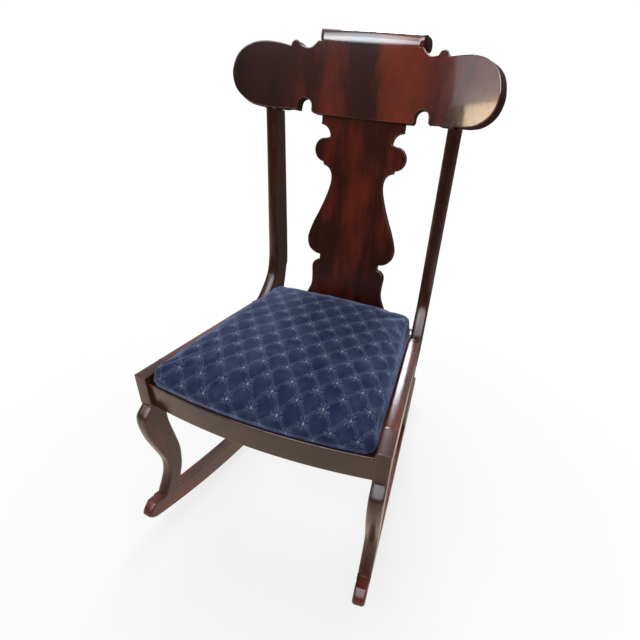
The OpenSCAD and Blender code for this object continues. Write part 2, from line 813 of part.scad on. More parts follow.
// The seat frame's plan under the cover, cut into its members
slip_front_end = slip_w - bow_out;
slip_back_start = seat_back_y - slip_w;
module slip_member(from, to, hollow) {
  color(pale_wood)
    in_seat()
      translate([0, 0, slip_z])
        difference() {
          linear_extrude(slip_t)
            difference() {
              intersection() {
                polygon(seat_loop(cover_t));
                translate([hollow == 0 ? -seat_w / 2 : min(hollow, 0) * seat_w / 2, from])
                  square([hollow == 0 ? seat_w : seat_w / 2, to - from]);
              }
              if (hollow != 0)
                polygon([for (q = [[1, from - 1], [1, to + 1], [-1, to + 1], [-1, from - 1]])
                  [q[0] * inner_x(q[1], seat_gap + cover_t + slip_w), q[1]]]);
            }
          tack_places()
            translate([0, 0, -1])
              cylinder(r = tack_r, h = tack_l + 1, $fn = round_fn);
        }
}
module slip_frame_front() {
  slip_member(-past, slip_front_end, 0);
}
module slip_frame_back() {
  slip_member(slip_back_start, seat_back_y, 0);
}
module slip_frame_left() {
  slip_member(slip_front_end, slip_back_start, -1);
}
module slip_frame_right() {
  slip_member(slip_front_end, slip_back_start, 1);
}
// Straps on top of the frame, the crosswise ones over the lengthwise ones
web_count = 3;
web_pitch = 78;
module webbing_lengthwise() {
  color(jute)
    in_seat()
      for (i = [1 : web_count])
        translate([(i - (web_count + 1) / 2) * web_pitch - web_w / 2,
            slip_front_end - slip_w / 2, web_z])
          cube([web_w, slip_back_start - slip_front_end + slip_w, web_t]);
}
module webbing_crosswise() {
  color(jute)
    in_seat()
      for (i = [1 : web_count]) {
        y = seat_back_y / 2 + (i - (web_count + 1) / 2) * web_pitch;
        half = inner_x(y + web_w / 2, seat_gap + cover_t + slip_w / 2);
        translate([-half, y - web_w / 2, web_z + web_t])
          cube([2 * half, web_w, web_t]);
      }
}
module burlap_sheet() {
  color(jute)
    in_seat()
      translate([0, 0, burlap_z])
        linear_extrude(burlap_t)
          polygon(seat_loop(cover_t + 4));
}
module seat_padding() {
  n = loop_n;
  rings = len(pad_rings);
  points = concat(flat_ring(cover_t, pad_z),
    [for (k = pad_rings) each pad_ring(k, cover_t)],
    [[pad_mid.x, pad_mid.y, pad_z], pad_peak(cover_t)]);
  bottom = (rings + 1) * n;
  color(cotton)
    in_seat()
      polyhedron(points, concat(
        flipped(cap(0, n, bottom)),
        [for (i = [0 : rings - 1]) each band(i, n)],
        cap(rings, n, bottom + 1)));
}
module seat_cover() {
  n = loop_n;
  rings = len(pad_rings) + 2;
  outer = concat(flat_ring(0, slip_z), flat_ring(0, pad_z),
    [for (k = pad_rings) each pad_ring(k, 0)]);
  inner = concat(flat_ring(cover_t, slip_z), flat_ring(cover_t, pad_z),
    [for (k = pad_rings) each pad_ring(k, cover_t)]);
  skin = concat([for (i = [0 : rings - 2]) each band(i, n)]);
  shift = rings * n;
  color(navy)
    in_seat()
      polyhedron(concat(outer, inner, [pad_peak(0), pad_peak(cover_t)]), concat(
        skin, cap(rings - 1, n, 2 * shift),
        flipped(moved(skin, shift)), flipped(cap(2 * rings - 1, n, 2 * shift + 1)),
        [for (j = [0 : n - 1]) let (a = j, b = (j + 1) % n)
          each [[a, b, shift + a], [b, shift + b, shift + a]]]));
}
// Tacks under the frame that hold the cover, in rows clear of the rails and ledges
tack_in = 24;
tack_pitch = 52;
module tack_places() {
  for (i = [-2 : 2]) {
    x = i * tack_pitch;
    translate([x, tack_in - bow_out + seat_setback + crest_sag(x, bow_r), 0])
      children();
    translate([x * 0.8, seat_back_y - tack_in, 0])
      children();
    y = seat_back_y / 2 + x;
    for (side = [-1, 1])
      translate([side * inner_x(y, tack_in), y, 0])
        children();
  }
}
module cover_tacks() {
  color(steel)
    in_seat()
      translate([0, 0, slip_z])
        tack_places() {
          mirror([0, 0, 1])
            cylinder(r = tack_head_r, h = 1, $fn = round_fn);
          cylinder(r = tack_r, h = tack_l, $fn = round_fn);
        }
}

crest_rail();
crest_scroll();
splat();
stile(-1);  // stile_left
stile(1);  // stile_right
side_rail(-1);  // side_rail_left
side_rail(1);  // side_rail_right
front_leg(-1);  // front_leg_left
front_leg(1);  // front_leg_right
rear_leg(-1);  // rear_leg_left
rear_leg(1);  // rear_leg_right
rocker(-1);  // rocker_left
rocker(1);  // rocker_right
front_rail();
back_rail();
seat_ledge(-1);  // seat_ledge_left
seat_ledge(1);  // seat_ledge_right
ledge_screws();
corner_blocks();
corner_screws();
rail_dowels();
leg_dowels();
crest_dowels();
slip_frame_front();
slip_frame_back();
slip_frame_left();
slip_frame_right();
webbing_lengthwise();
webbing_crosswise();
burlap_sheet();
seat_padding();
seat_cover();
cover_tacks();
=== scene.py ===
"""Child's rocking chair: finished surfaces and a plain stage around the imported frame.

Lengths in the shape functions are millimetres and are turned into metres when a mesh is made.
A place on a side of the chair is (s, z): s runs back along the side from the head block's
front, z is the height over the floor. Depth is measured in from a board's outer face.
"""
import math

import bpy
import numpy as np
from bpy.props import FloatProperty, FloatVectorProperty, IntProperty, PointerProperty
from mathutils import Matrix, Vector
from mathutils.geometry import delaunay_2d_cdt


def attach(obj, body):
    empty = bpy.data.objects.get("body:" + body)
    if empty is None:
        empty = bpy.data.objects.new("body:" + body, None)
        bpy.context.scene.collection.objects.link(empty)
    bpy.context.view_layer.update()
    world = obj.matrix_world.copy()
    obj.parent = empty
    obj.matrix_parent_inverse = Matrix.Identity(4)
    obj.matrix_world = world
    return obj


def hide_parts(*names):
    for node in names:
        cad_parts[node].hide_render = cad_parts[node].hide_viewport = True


bl_info = {
    "name": "Child's rocking chair",
    "version": (1, 0, 0),
    "blender": (4, 5, 0),
    "location": "3D View > Sidebar > Rocking chair",
    "description": "Builds the mahogany frame and the drop-in seat of a child's rocking chair",
    "category": "Add Mesh",
}

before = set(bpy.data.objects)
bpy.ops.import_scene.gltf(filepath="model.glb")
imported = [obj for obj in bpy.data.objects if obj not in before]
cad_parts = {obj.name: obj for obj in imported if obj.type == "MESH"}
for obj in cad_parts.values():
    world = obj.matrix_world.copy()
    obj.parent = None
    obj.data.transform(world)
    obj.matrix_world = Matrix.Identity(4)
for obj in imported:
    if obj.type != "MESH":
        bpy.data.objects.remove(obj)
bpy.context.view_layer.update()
MM = 0.001

# Driving sizes of the frame, as in the construction
SEAT_W = 380.0
SEAT_H = 298.5
SEAT_PITCH = math.radians(-0.6)
LEG_RAKE = math.radians(1.5)
TOE = math.radians(5.56)
BOARD_T = 20.0
RAIL_H = 51.0
RAIL_END = 264.0
BLOCK_L = 45.0
BLOCK_H = 50.5
QUIRK_H = 2.0
QUIRK_D = 2.5
BOW_R = 1003.0
BOW_OUT = 12.5
RAIL_DROP = 13.0
FRONT_RAIL_H = 41.0
FRONT_RAIL_T = 20.0
BACK_RAIL_Y = 300.0
BACK_RAIL_T = 24.0
BACK_RAIL_H = 38.0
ROCKER_R = 980.0
ROCKER_TOP_R = 1330.0
ROCKER_H = 39.0
ROCKER_W = 19.0
ROCKER_REST = 217.0
NOSE_REACH = 53.0
TAIL_END = 490.0
STILE_W = 20.6
STILE_PROUD = 1.5
STILE_TOP_D = 28.0
STILE_FOOT_L = 63.0
CREST_OVERHANG = 3.5
CREST_Y = 353.0
CREST_Z = 320.0
CREST_LEAN = math.radians(10.45)
CREST_R = 446.0
CREST_T = 20.0
CREST_HALF = 200.6
CREST_MID = 80.0
CREST_BASE = -1.0
CREST_TOP = 94.5
LOBE_TURN = math.radians(24.0)
LOBE_START = 128.0
LOBE_FULL = 160.0
SCROLL_H = 18.0
SCROLL_D = 31.0
SCROLL_HALF = 79.0
SCROLL_OVERHANG = 3.0
SCROLL_FLARE = math.radians(12.0)
SPLAT_T = 12.0
SPLAT_LEAN = math.radians(7.41)
SPLAT_SETBACK = 3.0
SPLAT_SHOULDER = 69.0
SPLAT_FOOT = 92.0
SPLAT_Z = 120.0
SEAT_GAP = 1.5
SEAT_SETBACK = 3.0
SEAT_BACK_Y = 306.0
SEAT_CORNER = 16.0
SEAT_LIE = 0.3
SEAT_LOW = SEAT_LIE - RAIL_DROP
FRONT_Y = -((TAIL_END - NOSE_REACH) * math.cos(TOE) - BOARD_T * math.sin(TOE)) / 2

# Roundings at a crisp joint, across a crowned top, and across and into the rocker's two ends
SHARP = 0.4
CROWN_ACROSS = 9.5
NOSE_ROUND = (5.5, 4.0)
TAIL_ROUND = (5.0, 3.5)

# Size of a rounding above which wear fades, and the width of a face's rim inside a rounding
TIGHT_EDGE = 2.4
FACE_RIM = 0.5

# How far a leg's foot sinks into the rocker, and a stile's end stays under the crest rail
FOOT_SUNK = 0.5
STILE_CLEAR = 0.05

# The pad's shoulder and half size, the burlap's top, the hem's width, and how far the pad
# stands out over the side rails and over the lower front rail
PAD_SHOULDER = 7.0
PAD_HALF = 160.0
BURLAP_TOP = 2.8
HEM_W = 5.0
PAD_OVER = 2.2
PAD_AHEAD = 2.0

# The frames of the cloth simulation that fills the pad, and the step of the cloth's fine
# twill in metres
FILL_FRAMES = 20
TWILL = 0.0009

# The floor's disc: its rings, the points on each and its radius in millimetres
FLOOR_RINGS = 24
FLOOR_POINTS = 96
FLOOR_R = 12000

BLACK = (0, 0, 0)
WHITE = (1, 1, 1)

# Camera of the reference view: place in metres, angles in degrees, image size in pixels
IMAGE_SIZE = 640
FOCAL_PX = 400.92
CENTRE_PX = (361.83, 348.85)
SENSOR_MM = 36.0
CAMERA_PLACE = (0.2383, -0.5431, 0.6626)
CAMERA_AZIMUTH = 16.7
CAMERA_ELEVATION = 33.3
CAMERA_ROLL = 5.3


# Settings

class ROCKER_PG_edges(bpy.types.PropertyGroup):
    """Rounding of the edges, in millimetres."""
    arris: FloatProperty(
        name="Arris", description="Rounding of a plain edge", default=1.2, min=0.3)
    leg_across: FloatProperty(
        name="Leg front across", description="Rounding of a leg's front across the board",
        default=8.0, min=1.0, max=9.5)
    leg_deep: FloatProperty(
        name="Leg front depth", description="Depth of the rounding of a leg's front",
        default=3.2, min=0.5, max=5.0)
    stile_across: FloatProperty(
        name="Stile front across", description="Rounding of a stile's front across the board",
        default=9.5, min=1.0, max=9.8)
    stile_deep: FloatProperty(
        name="Stile front depth", description="Depth of the rounding of a stile's front",
        default=5.0, min=0.5, max=8.0)
    crown: FloatProperty(
        name="Rail crown", description="Fall of a rail's crowned top at its edges",
        default=1.7, min=0.5, max=4.0)
    steps: IntProperty(
        name="Steps", description="Faces across a rounding", default=6, min=2, max=12)


class ROCKER_PG_wood(bpy.types.PropertyGroup):
    """Colours and gloss of the woods."""
    dark: FloatVectorProperty(
        name="Dark grain", description="Dark mahogany", subtype="COLOR",
        default=(0.018, 0.005, 0.004))
    middle: FloatVectorProperty(
        name="Middle", description="Middle mahogany", subtype="COLOR",
        default=(0.056, 0.012, 0.008))
    warm: FloatVectorProperty(
        name="Warm", description="Warm red-brown streaks", subtype="COLOR",
        default=(0.25, 0.036, 0.014))
    worn: FloatVectorProperty(
        name="Worn edge", description="Edges rubbed through to lighter wood", subtype="COLOR",
        default=(0.26, 0.13, 0.07))
    bare: FloatVectorProperty(
        name="Bare wood", description="Unfinished wood inside", subtype="COLOR",
        default=(0.48, 0.34, 0.20))
    gloss: FloatProperty(
        name="Roughness", description="Roughness of the varnish", default=0.15, min=0.02, max=1.0)


class ROCKER_PG_seat(bpy.types.PropertyGroup):
    """Form and cloth of the drop-in seat."""
    front_h: FloatProperty(
        name="Front edge", description="Height of the cushion's edge over the blocks, front",
        default=11.0)
    back_h: FloatProperty(
        name="Back edge", description="Height of the cushion's edge over the blocks, back",
        default=25.0)
    crown: FloatProperty(
        name="Crown", description="Rise of the crown over the edges", default=15.0)
    side: FloatProperty(
        name="Side", description="Extra height of the pad along its sides", default=6.0)
    pull: FloatProperty(
        name="Pull", description="Draw of the sides between the corners", default=1.6)
    swell: FloatProperty(
        name="Swell", description="Greatest move of a point as the pad fills", default=7.0, min=1.0)
    voxel: FloatProperty(
        name="Voxel", description="Size of the cloth's faces", default=4.0, min=3.0)
    pressure: FloatProperty(name="Pressure", description="Pressure in the pad", default=4.0)
    repeat_w: FloatProperty(
        name="Repeat across", description="Width of the woven repeat", default=36.5)
    repeat_d: FloatProperty(
        name="Repeat deep", description="Depth of the woven repeat", default=43.0)
    navy: FloatVectorProperty(
        name="Ground", description="Ground of the cloth", subtype="COLOR",
        default=(0.015, 0.021, 0.075))
    figure: FloatVectorProperty(
        name="Figure", description="Woven figure", subtype="COLOR",
        default=(0.155, 0.195, 0.330))
    fleck: FloatVectorProperty(
        name="Fleck", description="Small pale flecks", subtype="COLOR", default=(0.60, 0.58, 0.70))


class ROCKER_PG_stage(bpy.types.PropertyGroup):
    """Lights and floor."""
    ambient: FloatProperty(
        name="Ambient", description="Level of the light all round", default=0.42)
    window: FloatProperty(name="Window", description="Power of the window light", default=1.15)
    glow: FloatProperty(
        name="Glow", description="Power of the window's warm lower part", default=2.0)
    front: FloatProperty(
        name="Front", description="Power of the light high in front", default=8.0)
    back: FloatProperty(
        name="Back", description="Power of the light behind the chair", default=26.0)
    floor: FloatVectorProperty(
        name="Floor", description="Colour of the floor", subtype="COLOR",
        default=(0.83, 0.83, 0.82))


def settings(name):
    """The values of one group of settings."""
    return getattr(bpy.context.scene, "rocker_" + name)


# Curves

def smooth_run(points, steps=8):
    """Points on a smooth run through the given ones: on each stretch a cubic whose slope at a
    point is half the step between its two neighbours."""
    p = np.asarray(points, float)
    a = p[np.maximum(np.arange(len(p) - 1) - 1, 0)][:, None]
    b = p[:-1][:, None]
    c = p[1:][:, None]
    d = p[np.minimum(np.arange(len(p) - 1) + 2, len(p) - 1)][:, None]
    t = (np.arange(steps) / steps)[None, :, None]
    body = 0.5 * (2 * b + (c - a) * t + (2 * a - 5 * b + 4 * c - d) * t**2
                  + (3 * b - a - 3 * c + d) * t**3)
    return np.concatenate([body.reshape(-1, p.shape[1]), p[-1:]])


def smooth_step(value, low, high):
    """Rises from 0 to 1 with level ends as the value goes from low to high."""
    t = np.clip((value - low) / (high - low), 0, 1)
    return t * t * (3 - 2 * t)


def arc(centre, radius, start, stop, steps=24):
    """Points on a circle's arc: centre plus radius times the cosine and sine of the angle."""
    a = np.radians(np.linspace(start, stop, steps + 1))
    return np.asarray(centre, float) + radius * np.stack([np.cos(a), np.sin(a)], 1)


def tip(points, angle):
    """Side places turned by an angle about the head block's top front edge."""
    p = np.atleast_2d(np.asarray(points, float))
    c, s = math.cos(angle), math.sin(angle)
    return np.stack([p[:, 0] * c + p[:, 1] * s, SEAT_H - p[:, 0] * s + p[:, 1] * c], 1)


def rest(*points):
    """Side places that pitch with the seat's rails."""
    return tip(points, SEAT_PITCH)


def raked(points):
    """Side places that tip back with the legs and stiles."""
    return tip(points, LEG_RAKE)


def mirrored(points):
    """The mirror image of a half outline, in reverse order."""
    return points[::-1] * np.array([-1.0, 1.0])


def bridge(run, following):
    """The straight step from the end of one run to the start of the next."""
    return np.concatenate([run[-1:], following[:1]])


def spaced(points, step=1.0, count=None):
    """Points evenly spaced along a run, without its last one: a given number of them, or one
    about every step."""
    p = np.asarray(points, float)
    lengths = np.r_[0, np.cumsum(np.linalg.norm(np.diff(p, axis=0), axis=1))]
    count = count or max(1, int(math.ceil(lengths[-1] / step)))
    at = np.linspace(0, lengths[-1], count + 1)[:-1]
    return np.stack([np.interp(at, lengths, p[:, 0]), np.interp(at, lengths, p[:, 1])], 1)


def trace(parts, step=1.0, blend=3):
    """A closed outline from parts (points, across, deep): the loop with a point about every
    step, and for each point the rounding's reach across the board and into its face, which
    pass smoothly from part to part."""
    runs = [spaced(points, step) for points, _, _ in parts]
    loop = np.concatenate(runs)
    reach = np.concatenate([np.tile(np.array(part[1:], float), (len(run), 1))
                            for run, part in zip(runs, parts)])
    nxt = np.roll(loop, -1, 0)
    if np.sum(loop[:, 0] * nxt[:, 1] - nxt[:, 0] * loop[:, 1]) < 0:
        loop, reach = loop[::-1], reach[::-1]
    for _ in range(blend):
        reach = (np.roll(reach, 1, 0) + reach + np.roll(reach, -1, 0)) / 3
    return loop, reach[:, 0], reach[:, 1]


def inward(loop):
    """For each point of a loop that runs anticlockwise, the step that moves both edges beside
    it one unit inwards, held to a unit and a half at sharp corners."""
    edge = np.roll(loop, -1, 0) - loop
    length = np.maximum(np.linalg.norm(edge, axis=1), 1e-9)
    n = np.stack([-edge[:, 1], edge[:, 0]], 1) / length[:, None]
    both = n + np.roll(n, 1, 0)
    m = both / np.maximum(1 + np.sum(n * np.roll(n, 1, 0), 1), 0.3)[:, None]
    size = np.linalg.norm(m, axis=1)[:, None]
    return m * np.minimum(1, 1.5 / np.maximum(size, 1e-9))


def inside(points, loop):
    """True where a ray to the right from a point crosses the loop an odd number of times."""
    x, y = points[:, 0][:, None], points[:, 1][:, None]
    a, b = loop[None], np.roll(loop, -1, 0)[None]
    crosses = (a[..., 1] > y) != (b[..., 1] > y)
    with np.errstate(divide="ignore", invalid="ignore"):
        at = a[..., 0] + (y - a[..., 1]) * (b[..., 0] - a[..., 0]) / (b[..., 1] - a[..., 1])
    return (np.sum(crosses & (x < at), 1) % 2) == 1


def fill(loop, spacing=None):
    """Triangles inside a loop, with points of a square lattice added inside where a spacing is
    given. Returns the points that were added and the triangles over loop plus added points."""
    added = np.zeros((0, 2))
    if spacing:
        low, high = loop.min(0), loop.max(0)
        x = np.arange(low[0], high[0], spacing)
        y = np.arange(low[1], high[1], spacing)
        grid = np.stack(np.meshgrid(x, y), -1).reshape(-1, 2)
        grid = grid[inside(grid, loop)]
        gap = np.min(np.linalg.norm(grid[:, None] - loop[None], axis=2), axis=1)
        added = grid[gap > spacing * 0.5]
    n = len(loop)
    every = np.concatenate([loop, added])
    made, _, faces, sources, _, _ = delaunay_2d_cdt(
        [Vector(p) for p in every.tolist()], [(i, (i + 1) % n) for i in range(n)], [], 1, 1e-4)
    extra, names = [], []
    for point, source in zip(made, sources):
        names.append(source[0] if source else len(every) + len(extra))
        if not source:
            extra.append(tuple(point))
    if extra:
        added = np.concatenate([added, np.array(extra)])
    return added, np.array([[names[i] for i in f] for f in faces], int)


# Meshes

def make_mesh(name, verts, faces):
    """A smooth mesh from points in millimetres, its faces turned so that its volume is
    positive."""
    v = np.asarray(verts, float) * MM
    faces = [list(map(int, f)) for f in faces]
    tris = np.array([[f[0], f[k], f[k + 1]] for f in faces for k in range(1, len(f) - 1)])
    a, b, c = v[tris[:, 0]], v[tris[:, 1]], v[tris[:, 2]]
    if np.sum(a * np.cross(b, c)) < 0:
        faces = [f[::-1] for f in faces]
    mesh = bpy.data.meshes.new(name)
    mesh.from_pydata(v.tolist(), [], faces)
    mesh.polygons.foreach_set("use_smooth", np.ones(len(mesh.polygons), bool))
    mesh.update()
    piece = bpy.data.objects.new(name, mesh)
    bpy.context.scene.collection.objects.link(piece)
    return piece


def strip(rows, columns, closed_rows=False):
    """Four-sided faces of a grid of points stored row by row, where each row is a ring."""
    r = np.arange(rows if closed_rows else rows - 1)[:, None]
    c = np.arange(columns)[None]
    r2, c2 = (r + 1) % rows, (c + 1) % columns
    return np.stack([r * columns + c, r * columns + c2, r2 * columns + c2, r2 * columns + c],
                    -1).reshape(-1, 4)


def board(name, outline, thickness, carry, spacing=None, wall=None):
    """A shaped board. A profile, quarter ellipse, flat side, quarter ellipse, is carried round
    the outline: at angle a of a quarter the point lies deep times 1 minus sine a in from the
    edge and across times 1 minus cosine a below the face. The faces inside are filled, and
    carry(places, depths) puts every point where it belongs. wall is a finish for the flat
    side alone. The worn attribute is sine 2a of the quarter on tight edges, 0 on the faces."""
    loop, across, deep = outline
    across = np.minimum(across, thickness * 0.49)
    turns = np.linspace(0, math.pi / 2, settings("edges").steps + 1)
    into = inward(loop)
    insets = [deep + FACE_RIM] + [deep * (1 - math.sin(a)) for a in turns]
    depths = [np.zeros(len(loop))] + [across * (1 - math.cos(a)) for a in turns]
    rings = [loop + into * i[:, None] for i in insets + insets[::-1]]
    depths = depths + [thickness - d for d in depths[::-1]]
    n, rows = len(loop), len(rings)
    places, below = np.concatenate(rings), np.concatenate(depths)
    faces = strip(rows, n).tolist()
    added, tris = fill(rings[0], spacing)
    for ring, depth in ((0, 0.0), (rows - 1, thickness)):
        start = len(places)
        places = np.concatenate([places, added])
        below = np.r_[below, np.full(len(added), depth)]
        index = np.where(tris < n, tris + ring * n, tris - n + start)
        faces += (index if ring else index[:, ::-1]).tolist()
    piece = make_mesh(name, carry(places, below), faces)
    tight = np.clip(TIGHT_EDGE / np.maximum(across + deep, 0.1), 0, 1)
    ridge = [0 * tight] + [tight * math.sin(2 * a) for a in turns]
    worn = np.concatenate(ridge + ridge[::-1] + [np.zeros(2 * len(added))])
    piece.data.attributes.new("worn", "FLOAT", "POINT").data.foreach_set(
        "value", worn.astype(np.float32))
    if wall:
        finish = np.zeros(len(faces), np.int32)
        finish[len(turns) * n:(len(turns) + 1) * n] = 1
        piece.data.materials.append(None)
        piece.data.materials.append(wall)
        piece.data.polygons.foreach_set("material_index", finish)
    return piece


def settle(piece, body, nodes, material):
    """Gives a finished piece its material and body, and hides the parts it stands for."""
    if piece.data.materials:
        piece.data.materials[0] = material
    else:
        piece.data.materials.append(material)
    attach(piece, body)
    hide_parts(*nodes)


# Places

def in_side(side, outer):
    """Carries (s, z) and depth to the chair's left (-1) or right (1) side, which turns in
    towards the back by the toe angle. The outer face lies at the given depth."""
    def carry(places, depth):
        s, d = places[:, 0], depth + outer
        x = side * (SEAT_W / 2 - d * math.cos(TOE) - s * math.sin(TOE))
        y = FRONT_Y + s * math.cos(TOE) - d * math.sin(TOE)
        return np.stack([x, y, places[:, 1]], 1)
    return carry


def leaned(x, y, z, lean, origin_y, origin_z):
    """Board coordinates turned back by the lean about the x axis and moved to their origin."""
    c, s = math.cos(lean), math.sin(lean)
    return np.stack([x, origin_y + y * c + z * s, origin_z - y * s + z * c], 1)


def in_seat(x, y, z):
    """Coordinates of the seat's own frame: y runs back from the head blocks' front and z up from
    their tops, and both pitch with the rails."""
    return leaned(x, y, z, SEAT_PITCH, FRONT_Y, SEAT_H)


def on_crest(places, depth):
    """The crest rail's faces are cylinders about one upright axis before the rail. Towards the
    ends the walls turn outwards with depth, so that a lobe's end stands square to its face."""
    x, z = places[:, 0], places[:, 1]
    turn = smooth_step(np.abs(x), LOBE_START, LOBE_FULL) * math.sin(LOBE_TURN)
    x = x + np.sign(x) * depth * turn
    y = np.sqrt((CREST_R + depth)**2 - x**2) - CREST_R
    return leaned(x, y, z, CREST_LEAN, FRONT_Y + CREST_Y, SEAT_H + CREST_Z)


def on_splat(places, depth):
    """The splat is flat and leans back from its foot."""
    y0 = FRONT_Y + CREST_Y + SPLAT_SETBACK - (CREST_Z - SPLAT_Z) * math.tan(SPLAT_LEAN)
    return leaned(places[:, 0], depth, places[:, 1], SPLAT_LEAN, y0, SEAT_H + SPLAT_Z)


def inner_half(y, inset=0.0):
    """Half the width between the side boards at distance y behind the head blocks' front."""
    return SEAT_W / 2 - (BOARD_T + inset) / math.cos(TOE) - y * math.tan(TOE)


def in_front_rail(places, depth):
    """The bowed rail lies on circles about one upright axis far behind it."""
    x, z = places[:, 0], places[:, 1]
    c = BOW_R - BOW_OUT
    end_y = c - np.sqrt((BOW_R - depth)**2 - inner_half(0)**2)
    x = x * inner_half(end_y) / inner_half(c - math.sqrt(BOW_R**2 - inner_half(0)**2))
    return in_seat(x, c - np.sqrt((BOW_R - depth)**2 - x**2), z)


def in_back_rail(places, depth):
    """The back rail is flat, and its ends follow the toe of the sides."""
    x = places[:, 0] - np.sign(places[:, 0]) * depth * math.tan(TOE)
    return in_seat(x, BACK_RAIL_Y + depth, places[:, 1])


# Outlines

def under_z(s):
    """Height of the rocker's underside, a circle resting on the floor."""
    return ROCKER_R - np.sqrt(ROCKER_R**2 - (s - ROCKER_REST)**2)


def top_z(s):
    """Height of the rocker's hollow top, a circle of its own."""
    return ROCKER_H + ROCKER_TOP_R - np.sqrt(ROCKER_TOP_R**2 - (s - ROCKER_REST)**2)


def rocker_outline():
    """The two circles of underside and top, joined by a nose and a tail. Their points give the
    distance from the rocker's end and the share of the height between the circles."""
    e = settings("edges")
    nose = np.array([[8, 0], [3, 0.1], [0, 0.27], [1.5, 0.45], [5.5, 0.68], [11, 0.88], [15, 1]])
    tail = np.array([[6, 1], [1.5, 0.82], [0, 0.5], [1.5, 0.18], [6, 0]])

    def across(s, share):
        """Places between the underside and the top by the share."""
        return np.stack([s, under_z(s) * (1 - share) + top_z(s) * share], 1)
    front = smooth_run(across(nose[:, 0] - NOSE_REACH, nose[:, 1]))
    back = smooth_run(across(TAIL_END - tail[:, 0], tail[:, 1]))
    s = np.linspace(front[-1, 0], back[0, 0], 160)
    top = across(s, 1)
    bottom = across(s[::-1], 0)
    bottom = bottom[(bottom[:, 0] > front[0, 0]) & (bottom[:, 0] < back[-1, 0])]
    bottom = np.concatenate([back[-1:], bottom, front[:1]])
    long_edge = (e.arris * 1.6, e.arris * 1.2)
    return trace([(front, *NOSE_ROUND), (top, *long_edge), (back, *TAIL_ROUND),
                  (bottom, *long_edge)], blend=40)


def clipped(points):
    """Points of a leg that lie too far below the rocker's top are lifted, so that the foot is
    just sunk in it."""
    out = np.array(points)
    out[:, 1] = np.maximum(out[:, 1], top_z(out[:, 0]) - FOOT_SUNK)
    return out


def front_leg_outline():
    """A square head block and a quirk over a smooth knee in front and a calf behind. Their
    points give the depth behind the block's front and the share of the drop to the rocker."""
    e = settings("edges")
    knee = np.array([[-7.6, 0.038], [-13.7, 0.076], [-15.8, 0.13], [-15.2, 0.21], [-11, 0.332],
                     [-5, 0.438], [1.5, 0.544], [6.5, 0.634], [7.6, 0.708], [5, 0.793],
                     [-2, 0.878], [-11, 0.963], [-19, 1.06]])
    calf = np.array([[20, 1.06], [20, 0.995], [24, 0.889], [29.9, 0.793], [32.6, 0.719],
                     [34, 0.607], [32.9, 0.52], [29.3, 0.406], [25.5, 0.289], [23.6, 0.2],
                     [24.6, 0.12], [31, 0.045]])
    drop = SEAT_H - BLOCK_H - top_z(0.0)

    def side(points, top):
        """A smooth raked run, whose points hang below the top by their share of the drop."""
        return clipped(raked(smooth_run(np.stack([points[:, 0], top - points[:, 1] * drop], 1))))
    front, back = side(knee, -BLOCK_H - QUIRK_H / 2), side(calf, -BLOCK_H)
    block = raked([[0, 0], [0, -BLOCK_H]])
    quirk = raked([[0, -BLOCK_H], [QUIRK_D, -BLOCK_H - QUIRK_H / 2], [0, -BLOCK_H - QUIRK_H]])
    joint = rest([BLOCK_L, -BLOCK_H], [BLOCK_L, 0])
    return trace([(block, e.arris * 0.8, e.arris * 0.8), (quirk, 0.8, 0.6),
                  (bridge(quirk, front), e.leg_across, e.leg_deep),
                  (front, e.leg_across, e.leg_deep), (bridge(front, back), SHARP, SHARP),
                  (back, e.arris * 1.5, e.arris * 1.5), (bridge(back, joint), e.arris, e.arris),
                  (joint, SHARP, SHARP),
                  (rest([BLOCK_L, 0], [0, 0]), CROWN_ACROSS, e.crown)], step=0.8, blend=2)


def rear_leg_outline():
    """A smooth shin in front and a calf behind. Their points give the distance behind the side
    rail's end and the share of the drop from the rail to the rocker."""
    e = settings("edges")
    shin = np.array([[2, 0], [7, 0.13], [16, 0.31], [29, 0.55], [46, 0.78], [60, 0.95],
                     [66, 1.04]])
    calf = np.array([[97, 1.04], [83, 0.88], [67, 0.68], [55, 0.47], [49, 0.28], [52, 0.13],
                     [61, 0]])

    def foot_z(s):
        """Height of the side rail's bottom edge."""
        return SEAT_H - s * math.tan(SEAT_PITCH) - RAIL_H / math.cos(SEAT_PITCH)
    drop = foot_z(RAIL_END) - top_z(RAIL_END + calf[0, 0])

    def side(points):
        """A smooth raked run that hangs from the rail's foot."""
        q = smooth_run(points)
        s = RAIL_END + q[:, 0] - (RAIL_H + q[:, 1] * drop) * math.sin(LEG_RAKE)
        return clipped(np.stack([s, foot_z(s) - q[:, 1] * drop], 1))
    front, back = side(shin), side(calf)
    return trace([(front, e.leg_across, e.leg_deep * 0.7), (bridge(front, back), SHARP, SHARP),
                  (back, e.arris * 1.5, e.arris * 1.5), (bridge(back, front), SHARP, SHARP)])


def stile_top_s():
    """Place on the side of a stile's front where it meets the crest rail."""
    x = SEAT_W / 2 - (STILE_W / 2 - STILE_PROUD) * math.cos(TOE) - CREST_Y * math.tan(TOE)
    sag = CREST_R - math.sqrt(CREST_R**2 - x**2)
    return (CREST_Y - sag + CREST_OVERHANG) / math.cos(TOE)


def under_crest(points):
    """The points of a rising run that lie under the crest rail's leaned underside, ended by
    the point where the run meets it."""
    y = points[:, 0] * math.cos(TOE) - (STILE_W / 2 - STILE_PROUD) * math.sin(TOE) - CREST_Y
    over = (y * math.sin(CREST_LEAN) + (points[:, 1] - SEAT_H - CREST_Z) * math.cos(CREST_LEAN)
            - CREST_BASE + STILE_CLEAR)
    last = int(np.flatnonzero(over < 0)[-1])
    share = over[last] / (over[last] - over[last + 1])
    meet = points[last] + (points[last + 1] - points[last]) * share
    return np.concatenate([points[:last + 1], meet[None]])


